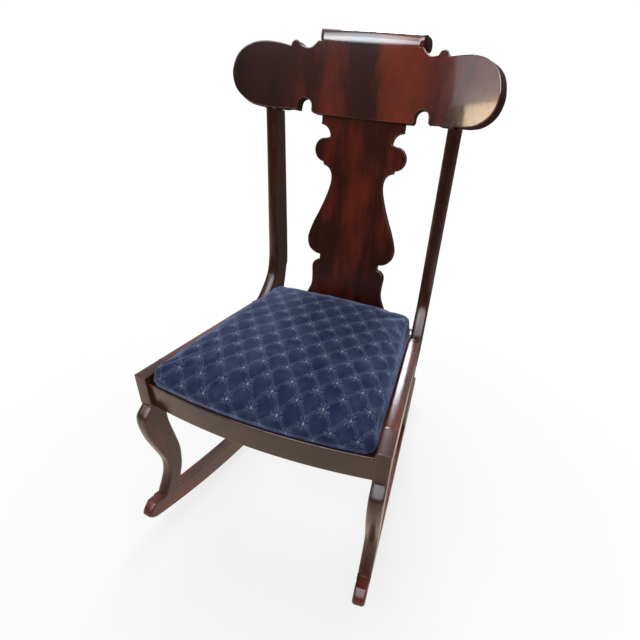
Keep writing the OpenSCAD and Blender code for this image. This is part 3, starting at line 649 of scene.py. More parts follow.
def stile_outline():
    """A smooth bend that rises from the side rail's end to the crest rail in front, and a spine
    that comes down behind to a foot under the rail's end."""
    e = settings("edges")
    bend = np.array([[16.4, 14.9], [32.3, 31.3], [46.9, 52.4], [53.5, 76.9], [55.7, 100.9]])
    spine = np.array([[91.9, 95.5], [88, 60], [78, 17], [70, -18]])
    top = SEAT_H + CREST_Z
    s = stile_top_s()
    bend = raked(bend + [RAIL_END, 0])
    upper = bend[-1:] * 0.75 + np.array([[s, top]]) * 0.25
    front = smooth_run(np.concatenate([
        rest([RAIL_END + 9, 0]), bend, upper, [[s, top], [s + 1, top + 60]]]))
    back = smooth_run(np.concatenate([
        [[s + STILE_TOP_D, top + 60], [s + STILE_TOP_D, top]], raked(spine + [RAIL_END, 0])]))
    front, back = under_crest(front), under_crest(back[::-1])[::-1]
    foot = rest([RAIL_END + STILE_FOOT_L, -RAIL_H], [RAIL_END, -RAIL_H])
    return trace([
        (rest([RAIL_END, -RAIL_H], [RAIL_END, 0]), SHARP, SHARP),
        (bridge(rest([RAIL_END, 0]), front), e.stile_across, e.crown),
        (front, e.stile_across, e.stile_deep), (bridge(front, back), SHARP, SHARP),
        (np.concatenate([back, foot[:1]]), e.arris * 2.5, e.arris * 2), (foot, SHARP, SHARP)])


def side_rail_outline():
    """A straight rail from the head block to the stile, with a crowned top."""
    e = settings("edges")
    a, b = BLOCK_L, RAIL_END
    return trace([(rest([a, -RAIL_H], [b, -RAIL_H]), e.arris, e.arris),
                  (rest([b, -RAIL_H], [b, 0]), SHARP, SHARP),
                  (rest([b, 0], [a, 0]), CROWN_ACROSS, e.crown),
                  (rest([a, 0], [a, -RAIL_H]), SHARP, SHARP)])


def crest_outline():
    """Half a crest rail and its mirror image: a round notch and a smooth step underneath, a
    smooth lobe at the end, a round bead on the shoulder and a rise to the middle."""
    e = settings("edges")
    notch_x, notch_z, notch_r = 95.2, 8.0, 11.0
    bead_x, bead_z, bead_r = 113.0, 84.0, 8.0
    low, high = notch_x - notch_r, notch_x + notch_r
    w = CREST_HALF
    half = np.concatenate([
        [[low - 3, CREST_BASE], [low, CREST_BASE + 3]],
        arc((notch_x, notch_z), notch_r, 180, 0),
        smooth_run([[high + 1, 0.8], [120, 1.2], [128, -0.6], [136, CREST_BASE]]),
        smooth_run([[w - 38, CREST_BASE], [w - 24, 1.4], [w - 12.6, 7.8], [w - 4.2, 17.5],
                    [w - 0.2, 30], [w, 42], [w - 4.8, 59], [w - 14, 71.5], [w - 29, 81],
                    [w - 45, 85], [w - 62, 85.6], [bead_x + bead_r, bead_z]]),
        arc((bead_x, bead_z), bead_r, 8, 165),
        smooth_run([[104.6, 85.8], [96, 84.4], [89.5, 86.5], [CREST_MID + 1, CREST_TOP]])])
    under_scroll = np.array([half[-1], half[-1] * [-1, 1]])
    return trace([(half, e.arris, e.arris), (under_scroll, 0.3, 0.3),
                  (np.concatenate([mirrored(half), half[:1]]), e.arris, e.arris)])


def splat_outline():
    """Half a vase-shaped splat and its mirror image: a spread foot, a step, a smooth body that
    draws in to a neck, a round ear and a round cove under the shoulder."""
    e = settings("edges")
    ear, ear_r, cove_r = (60.0, 150.4), 18.0, 16.5
    top = (CREST_Z - SPLAT_Z) / math.cos(SPLAT_LEAN) - 1
    down = (SPLAT_Z + RAIL_DROP + BACK_RAIL_Y * math.tan(SEAT_PITCH)) / math.cos(SPLAT_LEAN)
    half = np.concatenate([
        smooth_run([[SPLAT_FOOT, -down - 12], [80, -108], [69, -82], [68.2, -62], [69.2, -48],
                    [67.6, -40], [62.3, -34.3], [55.5, -32]]),
        smooth_run([[55.5, -22.5], [63, -21.5], [71, -18], [78, -11], [81.2, 0], [80, 12],
                    [72, 34], [63.5, 52], [55.8, 70], [49.5, 87], [45.7, 101], [45.2, 111.5],
                    [47.6, 119.5], [52.7, 125], [61, 128.2]]),
        arc(ear, ear_r, -85, 90),
        arc((SPLAT_SHOULDER, 170.5), cove_r, 180, 90),
        [[SPLAT_SHOULDER, top]]])
    half[:, 1] = np.maximum(half[:, 1], -down)
    loop = np.concatenate([half, mirrored(half), half[:1]])
    return trace([(loop, e.arris, e.arris)])


def rail_outline(half, height):
    """A plain rail seen from in front: crisp ends, eased long edges."""
    e = settings("edges")
    top = -RAIL_DROP
    low = top - height
    return trace([([[-half, low], [half, low]], e.arris, e.arris),
                  ([[half, low], [half, top]], SHARP, SHARP),
                  ([[half, top], [-half, top]], e.arris * 1.6, e.arris * 1.3),
                  ([[-half, top], [-half, low]], SHARP, SHARP)], step=1.5)


# Materials

class Value:
    """An output in a node tree. Arithmetic on it adds maths nodes to the same tree."""

    def __init__(self, nodes, socket):
        self.nodes, self.socket = nodes, socket

    def __add__(self, other):
        return self.nodes.math("ADD", self, other)

    def __radd__(self, other):
        return self.nodes.math("ADD", other, self)

    def __sub__(self, other):
        return self.nodes.math("SUBTRACT", self, other)

    def __rsub__(self, other):
        return self.nodes.math("SUBTRACT", other, self)

    def __mul__(self, other):
        return self.nodes.math("MULTIPLY", self, other)

    def __truediv__(self, other):
        return self.nodes.math("DIVIDE", self, other)

    def __pow__(self, power):
        return self.nodes.math("POWER", self, power)

    def __abs__(self):
        return self.nodes.math("ABSOLUTE", self)

    def scaled(self, factor, plus):
        """The value times a factor plus something, in one node."""
        return self.nodes.math("MULTIPLY_ADD", self, factor, plus)

    def or_larger(self, other):
        return self.nodes.math("MAXIMUM", self, other)

    def step(self, low, high, out_low=0.0, out_high=1.0):
        """Goes smoothly from out_low to out_high as the value goes from low to high."""
        return self.nodes.make("ShaderNodeMapRange", {
            "Value": self, "From Min": low, "From Max": high, "To Min": out_low,
            "To Max": out_high}, interpolation_type="SMOOTHSTEP")


class Nodes:
    """Builds the node tree of a material or a world, its owner."""

    def __init__(self, owner):
        owner.use_nodes = True
        self.owner, self.tree = owner, owner.node_tree
        self.tree.nodes.clear()

    def feed(self, socket, value):
        """Links an output to the socket, or sets the socket's own value. A colour gets its
        alpha here."""
        if isinstance(value, Value):
            self.tree.links.new(value.socket, socket)
        elif socket.type == "RGBA":
            socket.default_value = (*value, 1)[:4]
        else:
            socket.default_value = value

    def node(self, kind, inputs=(), **fields):
        node = self.tree.nodes.new(kind)
        for key, value in fields.items():
            setattr(node, key, value)
        for key, value in dict(inputs).items():
            self.feed(node.inputs[key], value)
        return node

    def make(self, kind, inputs=(), output=0, **fields):
        """One of the outputs of a new node."""
        return Value(self, self.node(kind, inputs, **fields).outputs[output])

    def here(self):
        """The place on the object, in metres."""
        return self.make("ShaderNodeTexCoord", output="Object")

    def place(self, scale=(1, 1, 1)):
        return self.make("ShaderNodeMapping", {"Vector": self.here(), "Scale": scale})

    def parts(self, vector):
        """The x, y and z of a vector."""
        return [Value(self, socket) for socket in
                self.node("ShaderNodeSeparateXYZ", {"Vector": vector}).outputs]

    def noise(self, vector, scale, detail=3.0, rough=0.5, distort=0.0):
        return self.make("ShaderNodeTexNoise", {
            "Vector": vector, "Scale": scale, "Detail": detail, "Roughness": rough,
            "Distortion": distort}, output="Fac")

    def math(self, operation, *values):
        return self.make("ShaderNodeMath", enumerate(values), operation=operation)

    def ramp(self, value, stops):
        """A colour that runs through stops, each a position and its colour."""
        node = self.node("ShaderNodeValToRGB", {"Fac": value})
        elements = node.color_ramp.elements
        for end in (0, -1):
            elements[end].position = stops[end][0]
            elements[end].color = (*stops[end][1], 1)
        for at, colour in stops[1:-1]:
            elements.new(at).color = (*colour, 1)
        return Value(self, node.outputs[0])

    def mix(self, share, a, b):
        return self.make("ShaderNodeMix", {0: share, 6: a, 7: b}, output=2, data_type="RGBA")

    def bump(self, height, depth):
        return self.make("ShaderNodeBump", {"Height": height, "Distance": depth, "Strength": 1.0})

    def end(self, kind, surface):
        self.node(kind, {"Surface": surface})
        return self.owner

    def finish(self, colour, rough, normal, **shader):
        """Ends the tree in one principled shader. Values that are the same all over are set on
        its own sockets."""
        inputs = {"Base Color": colour, "Roughness": rough, "Normal": normal}
        inputs.update({key.replace("_", " "): value for key, value in shader.items()})
        return self.end("ShaderNodeOutputMaterial", self.make("ShaderNodeBsdfPrincipled", inputs))


def new_material(name):
    """The node tree of a new material."""
    return Nodes(bpy.data.materials.new(name))


def blended(a, b, share):
    """The colour that lies between two by a share of the way."""
    return tuple(x * (1 - share) + y * share for x, y in zip(a, b))


def drawn_out(along, share):
    """Scales that draw a pattern out along one axis."""
    return tuple(share if axis == along else 1 for axis in "xyz")


def mahogany(name, along, tone=0.0, heart=False, coat=0.0, dull=0.0):
    """Varnished mahogany. Noise drawn out along the grain gives broad light and dark bands, a
    finer one gives streaks, and short dark dashes give pores, which also sink a little. heart
    adds a crotch figure: a dark wavy band up the middle, a red one to its right that is partly
    the veneer's own red and partly painted light, and a cooler, darker brown to the left that
    is partly the veneer's own tone and partly painted shade. Tight edges are rubbed through
    where the worn attribute is high. tone lightens the wood, coat adds a coat of varnish and
    dull roughens it."""
    w = settings("wood")
    n = new_material(name)
    wood = n.place(drawn_out(along, 0.12))
    broad = n.noise(wood, 26.0, detail=4.0, rough=0.55, distort=0.6)
    streak = n.noise(wood, 120.0, detail=4.0, rough=0.6, distort=0.3)
    pores = n.noise(n.place(drawn_out(along, 0.035)), 900.0, detail=2.0)
    cloud = n.noise(n.place((1, 1, 0.6)), 14.0)
    value = broad * 0.42 + streak * 0.2 + cloud.scaled(0.42, tone - 0.01)
    if heart:
        x = n.parts(n.here())[0]
        wave = n.noise(n.place((1, 1, 0.35)), 22.0, rough=0.6, distort=0.8)
        bent = x + 0.004 + wave.scaled(0.036, -0.018)
        core = abs(bent).step(0.006, 0.034, -0.15, 0.0)
        # Painted light: the red band right of the core is partly the veneer's own red, partly a
        # painted brighter patch.
        red = abs(bent - 0.065).step(0.0, 0.06, 0.24, 0.0)
        # Painted shade: the rail's left half is darkened, partly the veneer's own tone, partly
        # painted shade.
        brown = x.step(-0.17, -0.03, -0.17, 0.0)
        value = value + (core + red) + brown
    colour = n.ramp(value, [(0.30, w.dark), (0.50, w.middle),
                            (0.68, blended(w.middle, w.warm, 0.7)), (0.82, w.warm)])
    dash = pores.step(0.62, 0.72)
    colour = n.mix(dash * 0.45, colour, w.dark)
    worn = n.make("ShaderNodeAttribute", output="Fac", attribute_name="worn")
    rub = n.noise(n.place(), 55.0, detail=4.0, rough=0.6).step(0.42, 0.62, 0.12, 0.6)
    colour = n.mix(worn * rub, colour, w.worn)
    wear = n.noise(n.place(), 9.0)
    rough = wear.scaled(0.14, w.gloss - (0.08 if heart else 0.05) + dull)
    peel = n.noise(n.place(), 520.0, detail=1.0, rough=0.4)
    ripple = n.noise(wood, 60.0, detail=2.0)
    normal = n.bump(peel * 0.5 + ripple * 0.5 - dash * 0.25, 0.00016)
    return n.finish(colour, rough, normal, Specular_IOR_Level=0.5, Coat_Weight=coat,
                    Coat_Roughness=0.06)


def sawn_edge(name):
    """The sawn edge of a veneered board: dark and without gloss. On the scroll's ends
    this darkness is painted shade.
    """
    w = settings("wood")
    n = new_material(name)
    lines = n.noise(n.place(drawn_out("y", 0.2)), 300.0, detail=4.0, rough=0.6)
    colour = n.mix(lines, blended(w.dark, BLACK, 0.3), blended(w.dark, w.middle, 0.6))
    return n.finish(colour, lines.scaled(0.2, 0.5), n.bump(lines, 0.0003),
                    Specular_IOR_Level=0.12)


def bare_wood(name, along):
    """Planed, unfinished wood: pale, with drawn-out grain lines and darker growth bands."""
    pale = settings("wood").bare
    n = new_material(name)
    wood = n.place(drawn_out(along, 0.08))
    bands = n.noise(wood, 60.0, rough=0.55, distort=0.5)
    lines = n.noise(wood, 420.0, rough=0.6)
    colour = n.ramp(bands * 0.6 + lines * 0.4, [
        (0.32, blended(pale, (0.12, 0.07, 0.04), 0.6)), (0.5, pale),
        (0.72, blended(pale, (0.75, 0.6, 0.42), 0.6))])
    return n.finish(colour, bands.scaled(0.2, 0.55), n.bump(lines, 0.0003),
                    Specular_IOR_Level=0.3)


def metal(name, colour, rough):
    """Dull iron or steel with faint blotches."""
    n = new_material(name)
    blotch = n.noise(n.place(), 500.0, detail=4.0)
    shade = n.mix(blotch, blended(colour, BLACK, 0.45), colour)
    normal = n.bump(n.noise(n.place(), 2500.0, detail=2.0), 0.0001)
    return n.finish(shade, blotch.scaled(0.25, rough - 0.1), normal, Metallic=0.9)


def woven(name, colour, pitch, stripe=None):
    """Plain weave: two sine waves across each other, their sign set by a chequer, so that a
    thread shows over and then under its neighbour. pitch is the step from thread to thread and
    stripe the step between red-brown stripes, in metres."""
    n = new_material(name)
    x, y, _ = n.parts(n.here())
    turns = math.pi / pitch
    height = abs(n.math("SINE", x * turns) * n.math("SINE", y * turns))
    fibre = n.noise(n.place(), 700.0, detail=4.0, rough=0.7)
    # Painted shade: the cloth is darker where its threads dip between the crossings.
    shade = n.mix(height.step(0.0, 0.5), blended(colour, BLACK, 0.6), colour)
    shade = n.mix(fibre * 0.5, shade, blended(colour, WHITE, 0.25))
    if stripe:
        side = abs(n.math("FRACT", x * (1 / stripe)) - 0.5).step(0.30, 0.33)
        shade = n.mix(side * 0.35, shade, (0.20, 0.08, 0.05))
    normal = n.bump(height + fibre * 0.4, 0.0006)
    return n.finish(shade, 0.85, normal, Specular_IOR_Level=0.2)


def jacquard(name):
    """Navy jacquard. Rows of scales, each row half a scale off the next: a scale's outline
    rises from its two lower corners to its tip as an arch, with an echo under it, and where
    outlines meet lies a small oblong fleck in a spray of leaves. A noise makes the outlines
    wander a little. The weave attribute gives the cloth's own coordinates in metres."""
    s = settings("seat")
    n = new_material(name)
    spot = n.make("ShaderNodeAttribute", output="Vector", attribute_name="weave")
    wander = n.make("ShaderNodeTexNoise", {"Vector": spot, "Scale": 60.0, "Detail": 2.0},
                    output="Color", noise_dimensions="3D")
    shift = n.make("ShaderNodeVectorMath", {0: wander, 1: (0.5, 0.5, 0.5)}, operation="SUBTRACT")
    wobble = n.make("ShaderNodeVectorMath", {0: shift, "Scale": 0.004}, operation="SCALE")
    x, y, _ = n.parts(n.make("ShaderNodeVectorMath", {0: spot, 1: wobble}, operation="ADD"))
    row = s.repeat_d / 2
    rows = y / (row * MM)
    level = n.math("FLOOR", rows)
    rise = rows - level
    odd = n.math("PINGPONG", level, 1.0) * 0.5
    cell = n.math("FRACT", x / (s.repeat_w * MM) + odd + 100.0) - 0.5
    aside = abs(cell) * 2.0
    arch = (1.0 - aside**1.7)**0.62
    gap = (rise - arch) * row / (1.0 + aside**3.0 * 1.4)
    line = abs(gap).step(0.5, 1.5, 1.0, 0.0)
    echo = abs(gap + 3.2).step(0.4, 1.3, 0.8, 0.0)

    def meeting(dx, dy):
        """The leaves, the fleck and the figure's strength about a meeting point, from the way
        to it in millimetres."""
        far = n.math("SQRT", dx**2.0 + dy**2.0)
        petals = abs(n.math("COSINE", n.math("ARCTAN2", dy, dx) * 4.0))
        spray = far.step(1.6, 3.2) * far.step(6.5, 10.0, 1.0, 0.0) * petals.step(0.62, 0.9)
        oblong = n.math("SQRT", (dx / 0.95)**2.0 + (dy / 1.9)**2.0)
        return spray, oblong.step(0.75, 1.15, 1.0, 0.0), far.step(4.0, 15.0, 1.0, 0.5)
    above = meeting(cell * s.repeat_w, (rise - 1.0) * row)
    below = meeting((1.0 - aside) * (s.repeat_w / 2), rise * row)
    leaves, dots, close = (a.or_larger(b) for a, b in zip(above, below))
    thread = n.noise(spot, 420.0, rough=0.75)
    figure = (line.or_larger(echo) * close).or_larger(leaves * 0.9)
    figure = figure * thread.step(0.40, 0.60, 0.1, 1.0)
    cloudy = n.noise(spot, 45.0)
    twill = n.math("SINE", (x + y) * (math.tau / TWILL))
    ground = n.mix(cloudy.step(0.3, 0.75), s.navy, blended(s.navy, s.figure, 0.22))
    colour = n.mix(figure * 0.9, ground, s.figure)
    colour = n.mix(dots * 0.85, colour, s.fleck)
    colour = n.mix(twill.scaled(0.08, 0.08), colour, (0.0, 0.0, 0.01))
    height = figure * 0.8 + twill.scaled(0.15, dots) + thread * 0.5
    return n.finish(colour, figure.scaled(-0.15, 0.62), n.bump(height, 0.0003),
                    Specular_IOR_Level=0.08, Sheen_Weight=1.0, Sheen_Roughness=0.3,
                    Sheen_Tint=(0.45, 0.55, 0.85))


# The drop-in seat

def seat_plan(inset, count=360):
    """Closed plan of the seat, run anticlockwise: a bowed front, round corners, straight sides
    and back, all moved in by the inset, with evenly spaced points."""
    r = SEAT_CORNER - min(inset, SEAT_CORNER - 4)
    q, c = BOW_R - SEAT_SETBACK - inset - r, BOW_R - BOW_OUT
    reach = SEAT_GAP + inset + r
    x1 = inner_half(0, reach)
    x1 = inner_half(c - math.sqrt(q**2 - x1**2), reach)
    y1 = c - math.sqrt(q**2 - x1**2)
    turn = math.degrees(math.asin(x1 / q))
    y2 = SEAT_BACK_Y - inset - r
    x2 = inner_half(y2, reach)
    f = np.radians(np.linspace(0, turn, 30))
    toe = math.degrees(TOE)
    half = np.concatenate([
        np.stack([(q + r) * np.sin(f), c - (q + r) * np.cos(f)], 1),
        arc((x1, y1), r, turn - 90, toe), arc((x2, y2), r, toe, 90),
        [[0, SEAT_BACK_Y - inset]]])
    return spaced(np.concatenate([half, mirrored(half)[1:]]), count=count)


def seat_height(x, y):
    """Height of the pad over the head blocks: a slope from front to back, plus a crown that
    falls to nothing at the front and the sides and to seven tenths at the back, plus a rise
    along the sides that starts behind the front and fades towards the back."""
    s = settings("seat")
    u = np.minimum(np.abs(x) / inner_half(y, SEAT_GAP), 1)
    v = np.clip(2 * y / SEAT_BACK_Y - 1, -1, 1)
    back = np.clip(y / SEAT_BACK_Y, 0, 1)**0.85
    fall = np.where(v < 0, 1 - np.abs(v)**5, 1 - 0.3 * np.abs(v)**4)
    fade = 1 - 0.8 * smooth_step(y, 200.0, SEAT_BACK_Y)
    side = s.side * u**4 * smooth_step(y, -10.0, 70.0) * fade
    return s.front_h + (s.back_h - s.front_h) * back + s.crown * (1 - u**2.4) * fall + side


def seat_pad(name):
    """The closed pad before it fills: rings that shrink from the plan towards the middle over
    the top and the flat underside, with a rounded shoulder between side and top."""
    plan = seat_plan(0.5)
    middle = np.array([0.0, SEAT_BACK_Y / 2])
    reach = plan - middle
    edge_z = seat_height(plan[:, 0], plan[:, 1])

    def ring(places, heights):
        """Places in plan with their heights as one row of the grid."""
        return np.column_stack([places, np.broadcast_to(heights, len(places))])
    shares = np.concatenate([np.linspace(0.04, 0.96, 16), [0.985, 0.997, 1.0]])
    rows = [ring(middle + reach * k, SEAT_LOW) for k in shares]
    rows += [ring(plan, SEAT_LOW + (edge_z - PAD_SHOULDER - SEAT_LOW) * f)
             for f in np.linspace(0.15, 1, 8)]
    for a in np.linspace(0.2, 1.0, 6) * math.pi / 2:
        k = 1 - (1 - math.cos(a)) * PAD_SHOULDER / PAD_HALF
        rows.append(ring(middle + reach * k, edge_z - PAD_SHOULDER * (1 - math.sin(a))))
    reach = reach * (1 - PAD_SHOULDER / PAD_HALF)
    for k in np.linspace(0.95, 0.04, 26):
        p = middle + reach * k
        rows.append(ring(p, seat_height(p[:, 0], p[:, 1])))
    n = len(plan)
    top = float(seat_height(0.0, middle[1]))
    verts = np.concatenate(rows + [np.array([[*middle, SEAT_LOW], [*middle, top]])])
    faces = strip(len(rows), n).tolist()
    first, last, end = len(verts) - 2, len(verts) - 1, (len(rows) - 1) * n
    faces += [[j, (j + 1) % n, first] for j in range(n)]
    faces += [[end + (j + 1) % n, end + j, last] for j in range(n)]
    return make_mesh(name, in_seat(*verts.T), faces)


def seat_hem(name):
    """The cover's hem, turned under the loose frame and tacked: a thin flat band whose inner
    edge waves by two sines."""
    outer = seat_plan(0.6)
    turn = np.linspace(0, math.tau, len(outer) + 1)[:-1]
    share = 0.5 + 0.25 * np.sin(23 * turn + 1.3) + 0.25 * np.sin(61 * turn)
    inner = seat_plan(31.0) * (1 - share[:, None]) + seat_plan(35.0) * share[:, None]
    rows = []
    for under, steps in ((0.02, np.linspace(0, 1, 7)), (0.25, np.linspace(1, 0, 7))):
        level = np.full(len(outer), SEAT_LOW - under)
        rows += [np.column_stack([outer * (1 - k) + inner * k, level]) for k in steps]
    verts = np.concatenate(rows)
    piece = make_mesh(name, in_seat(*verts.T), strip(len(rows), len(outer), closed_rows=True))
    edge = np.concatenate([outer] * len(rows))
    store_weave(piece, 2.4 * edge - 1.4 * verts[:, :2])
    return piece


def in_seat_frame(co):
    """Metres in the chair's frame to millimetres in the seat's own frame, the way back from
    in_seat."""
    y, z = co[:, 1] / MM - FRONT_Y, co[:, 2] / MM - SEAT_H
    c, s = math.cos(SEAT_PITCH), math.sin(SEAT_PITCH)
    return np.stack([co[:, 0] / MM, y * c - z * s, y * s + z * c], 1)


def read_points(mesh, field="co"):
    """A mesh's points or normals as an array."""
    values = np.zeros(len(mesh.vertices) * 3)
    mesh.vertices.foreach_get(field, values)
    return values.reshape(-1, 3)


def write_points(mesh, points):
    """Puts an array of points in metres back into a mesh."""
    mesh.vertices.foreach_set("co", points.ravel())
    mesh.update()


def keep_in_rails(p):
    """Holds the filled pad to the opening. Below the rails' tops its sides keep the gap, above
    them they are drawn in between the corners at the tuck and stand out over the rails
    higher up, and the front stands out over its lower rail. Underneath, all but the hem's own
    width rises to the burlap. Distance is taken from the nearest place of the plan."""
    s = settings("seat")
    plan = seat_plan(0.3, 400)
    out = -inward(plan)
    out /= np.linalg.norm(out, axis=1)[:, None]
    near = np.concatenate([np.argmin(np.sum((q[:, None] - plan[None])**2, 2), 1)
                           for q in np.array_split(p[:, :2], 16)])
    off = np.sum((p[:, :2] - plan[near]) * out[near], 1)
    x, y, z = p.T
    u = np.abs(x) / inner_half(y, SEAT_GAP)
    v = np.abs(2 * y / SEAT_BACK_Y - 1)
    pull = s.pull * (1 - np.minimum(np.minimum(u, v), 1)**8)
    tuck = smooth_step(z, -3.0, 2.0) * (1 - smooth_step(z, 2.0, 9.0)) * pull
    ahead = smooth_step(-out[near, 1], 0.7, 0.95) * smooth_step(z, -12.0, -3.0) * PAD_AHEAD
    over = smooth_step(z, 1.0, 9.0)
    reach = over * PAD_OVER - tuck + ahead
    wall = off > -HEM_W
    least = reach - 8.0 * over + np.minimum(off, 0) * np.where(z < -8.0, 0.1, 0.0)
    most = np.minimum(off, reach)
    held = np.where(wall & (z < 8.0), np.maximum(most, least), most)
    p[:, :2] += out[near] * (held - off)[:, None]
    p[:, 2] = np.where((z < -3.0) & ~wall, BURLAP_TOP, np.maximum(z, SEAT_LOW))
    return p


def swell(piece):
    """Fills the pad: the mesh is remeshed into even faces and blown up as cloth with its
    underside held. A point's move is drawn down by a hyperbolic tangent, so that none moves
    further than the swell."""
    s = settings("seat")
    view = bpy.context.view_layer
    bpy.ops.object.select_all(action="DESELECT")
    piece.select_set(True)
    view.objects.active = piece
    remesh = piece.modifiers.new("even", "REMESH")
    remesh.mode, remesh.voxel_size, remesh.use_smooth_shade = "VOXEL", s.voxel * MM, True
    bpy.ops.object.modifier_apply(modifier=remesh.name)
    start = read_points(piece.data)
    held = piece.vertex_groups.new(name="held")
    held.add(np.flatnonzero(in_seat_frame(start)[:, 2] < -2.0).tolist(), 1.0, "REPLACE")
    cloth = piece.modifiers.new("fill", "CLOTH")
    cloth.settings.quality = 5
    cloth.settings.mass = 0.3
    cloth.settings.tension_stiffness = 20
    cloth.settings.bending_stiffness = 0.6
    cloth.settings.use_pressure = True
    cloth.settings.uniform_pressure_force = s.pressure
    cloth.settings.effector_weights.gravity = 0
    cloth.settings.vertex_group_mass = held.name
    cloth.collision_settings.use_collision = False
    scene = bpy.context.scene
    cloth.point_cache.frame_start, cloth.point_cache.frame_end = 1, FILL_FRAMES
    for number in range(1, FILL_FRAMES + 1):
        scene.frame_set(number)
    blown = piece.evaluated_get(bpy.context.evaluated_depsgraph_get())
    move = read_points(blown.data) - start
    piece.modifiers.remove(cloth)
    scene.frame_set(1)
    size = np.linalg.norm(move, axis=1)[:, None]
    move *= np.tanh(size / (s.swell * MM)) * s.swell * MM / np.maximum(size, 1e-9)
    write_points(piece.data, start + move)
    piece.vertex_groups.clear()
    finer = piece.modifiers.new("finer", "SUBSURF")
    finer.levels = finer.render_levels = 1
    bpy.ops.object.modifier_apply(modifier=finer.name)
    p = keep_in_rails(in_seat_frame(read_points(piece.data)))
    write_points(piece.data, in_seat(*p.T) * MM)


def lay_weave(piece):
    """Lays the cloth: over the top its coordinates are the place seen from above, and down a
    side the drop below the shoulder is added outwards, as the cloth is drawn down."""
    p = in_seat_frame(read_points(piece.data))
    normal = read_points(piece.data, "normal")
    level = np.linalg.norm(normal[:, :2], axis=1)
    out = normal[:, :2] / np.maximum(level, 1e-6)[:, None]
    edge = seat_height(p[:, 0], np.clip(p[:, 1], 0, SEAT_BACK_Y)) - 4.0
    drop = np.maximum(edge - p[:, 2], 0) * np.clip(level * 1.5 - 0.3, 0, 1)
    store_weave(piece, p[:, :2] + out * drop[:, None])


def store_weave(piece, place):
    """Stores the cloth's own coordinates, given in millimetres, and smooths the mesh."""
    mesh = piece.data
    data = np.column_stack([place, np.zeros(len(place))]) * MM
    attribute = mesh.attributes.new("weave", "FLOAT_VECTOR", "POINT")
    attribute.data.foreach_set("vector", data.astype(np.float32).ravel())
    mesh.polygons.foreach_set("use_smooth", np.ones(len(mesh.polygons), bool))


# Operators

class ROCKER_OT_stage(bpy.types.Operator):
    """Sets the camera, the pale floor and the soft lights"""
    bl_idname = "rocker.stage"
    bl_label = "Stage"

    def execute(self, context):
        s = settings("stage")
        scene = context.scene
        scene.view_settings.view_transform = "Standard"
        add_camera(scene)
        scene.world = white_world(s.ambient)
        floor = make_mesh("floor", floor_points(), strip(FLOOR_RINGS, FLOOR_POINTS))
        floor.data.materials.append(floor_finish(s.floor))
        crest = (0.15, 0.13, 0.67)
        add_light("window_light", (-1.53, -1.06, 1.44), crest, (0.6, 0.36), s.window,
                  (0.84, 0.91, 1.0))
        add_light("window_glow", (-1.58, -1.10, 1.17), crest, (0.36, 0.17), s.glow,
                  (1.0, 0.80, 0.55))
        add_light("front_light", (-0.60, -1.30, 1.95), (0, 0.1, 0.5), (1.1, 0.5), s.front,
                  (0.88, 0.95, 1.0))
        add_light("back_light", (-0.4, 1.75, 1.6), (0, 0, 0.35), (0.7, 0.45), s.back,
                  (0.84, 0.92, 1.0))
        return {"FINISHED"}


def add_camera(scene):
    """A camera looking at the reference view. Its three axes are written from azimuth,
    elevation and roll, and the shift moves the picture's centre to the optical centre."""
    a, e, r = (math.radians(v) for v in (CAMERA_AZIMUTH, CAMERA_ELEVATION, CAMERA_ROLL))
    back = Vector((math.sin(a) * math.cos(e), -math.cos(a) * math.cos(e), math.sin(e)))
    level = Vector((math.cos(a), math.sin(a), 0))
    upright = back.cross(level)
    right = level * math.cos(r) + upright * math.sin(r)
    up = back.cross(right)
    data = bpy.data.cameras.new("camera")
    data.sensor_width = SENSOR_MM
    data.lens = FOCAL_PX / IMAGE_SIZE * SENSOR_MM
    data.shift_x = (IMAGE_SIZE / 2 - CENTRE_PX[0]) / IMAGE_SIZE
    data.shift_y = (CENTRE_PX[1] - IMAGE_SIZE / 2) / IMAGE_SIZE
    data.clip_start, data.clip_end = 0.02, 200
    camera = bpy.data.objects.new("camera", data)
    turn = Matrix((right, up, back)).transposed()
    camera.matrix_world = Matrix.Translation(CAMERA_PLACE) @ turn.to_4x4()
    scene.collection.objects.link(camera)
    scene.camera = camera


def floor_points():
    """A flat disc as rings whose radius grows as the square of the ring's number, round one
    that is as small as a point."""
    radius = np.r_[1e-6, np.linspace(0.15, 1, FLOOR_RINGS - 1)**2] * FLOOR_R
    a = np.linspace(0, math.tau, FLOOR_POINTS + 1)[:-1]
    return np.stack([np.outer(radius, np.cos(a)), np.outer(radius, np.sin(a)),
                     np.zeros((FLOOR_RINGS, FLOOR_POINTS))], -1).reshape(-1, 3)


def seen_white(n, lit, share, mirrored, tint):
    """Lets the camera see plain white by the share, and rays that a surface mirrors or passes
    on see the tint at the mirrored strength."""
    path = n.node("ShaderNodeLightPath").outputs
    camera, glossy, passed = (Value(n, path[name]) for name in (
        "Is Camera Ray", "Is Glossy Ray", "Is Transmission Ray"))
    white = n.make("ShaderNodeEmission", {"Color": WHITE, "Strength": 1.0})
    image = n.make("ShaderNodeEmission", {"Color": tint, "Strength": mirrored})
    direct = n.make("ShaderNodeMixShader", {0: camera * share, 1: lit, 2: white})
    return n.make("ShaderNodeMixShader", {0: glossy.or_larger(passed), 1: direct, 2: image})


def floor_finish(colour):
    """Pale floor with a faint mottle, which turns to plain white away from the chair. In the
    varnish it shows bright near the chair and dim farther off in front."""
    n = new_material("pale_floor")
    here = n.here()
    far = n.make("ShaderNodeVectorMath", {0: here}, output="Value", operation="LENGTH")
    y = n.parts(here)[1]
    shade = n.mix(n.noise(n.place(), 6.0), blended(colour, WHITE, 0.1), colour)
    lit = n.make("ShaderNodeBsdfDiffuse", {"Color": shade})
    shown = y.step(-1.6, -0.7).scaled(y.step(-0.1, 0.6, 1.0, 0.15), 0.06)
    seen = seen_white(n, lit, far.step(0.25, 0.8, 0.78, 1.0), shown, (1.0, 0.86, 0.72))
    return n.end("ShaderNodeOutputMaterial", seen)


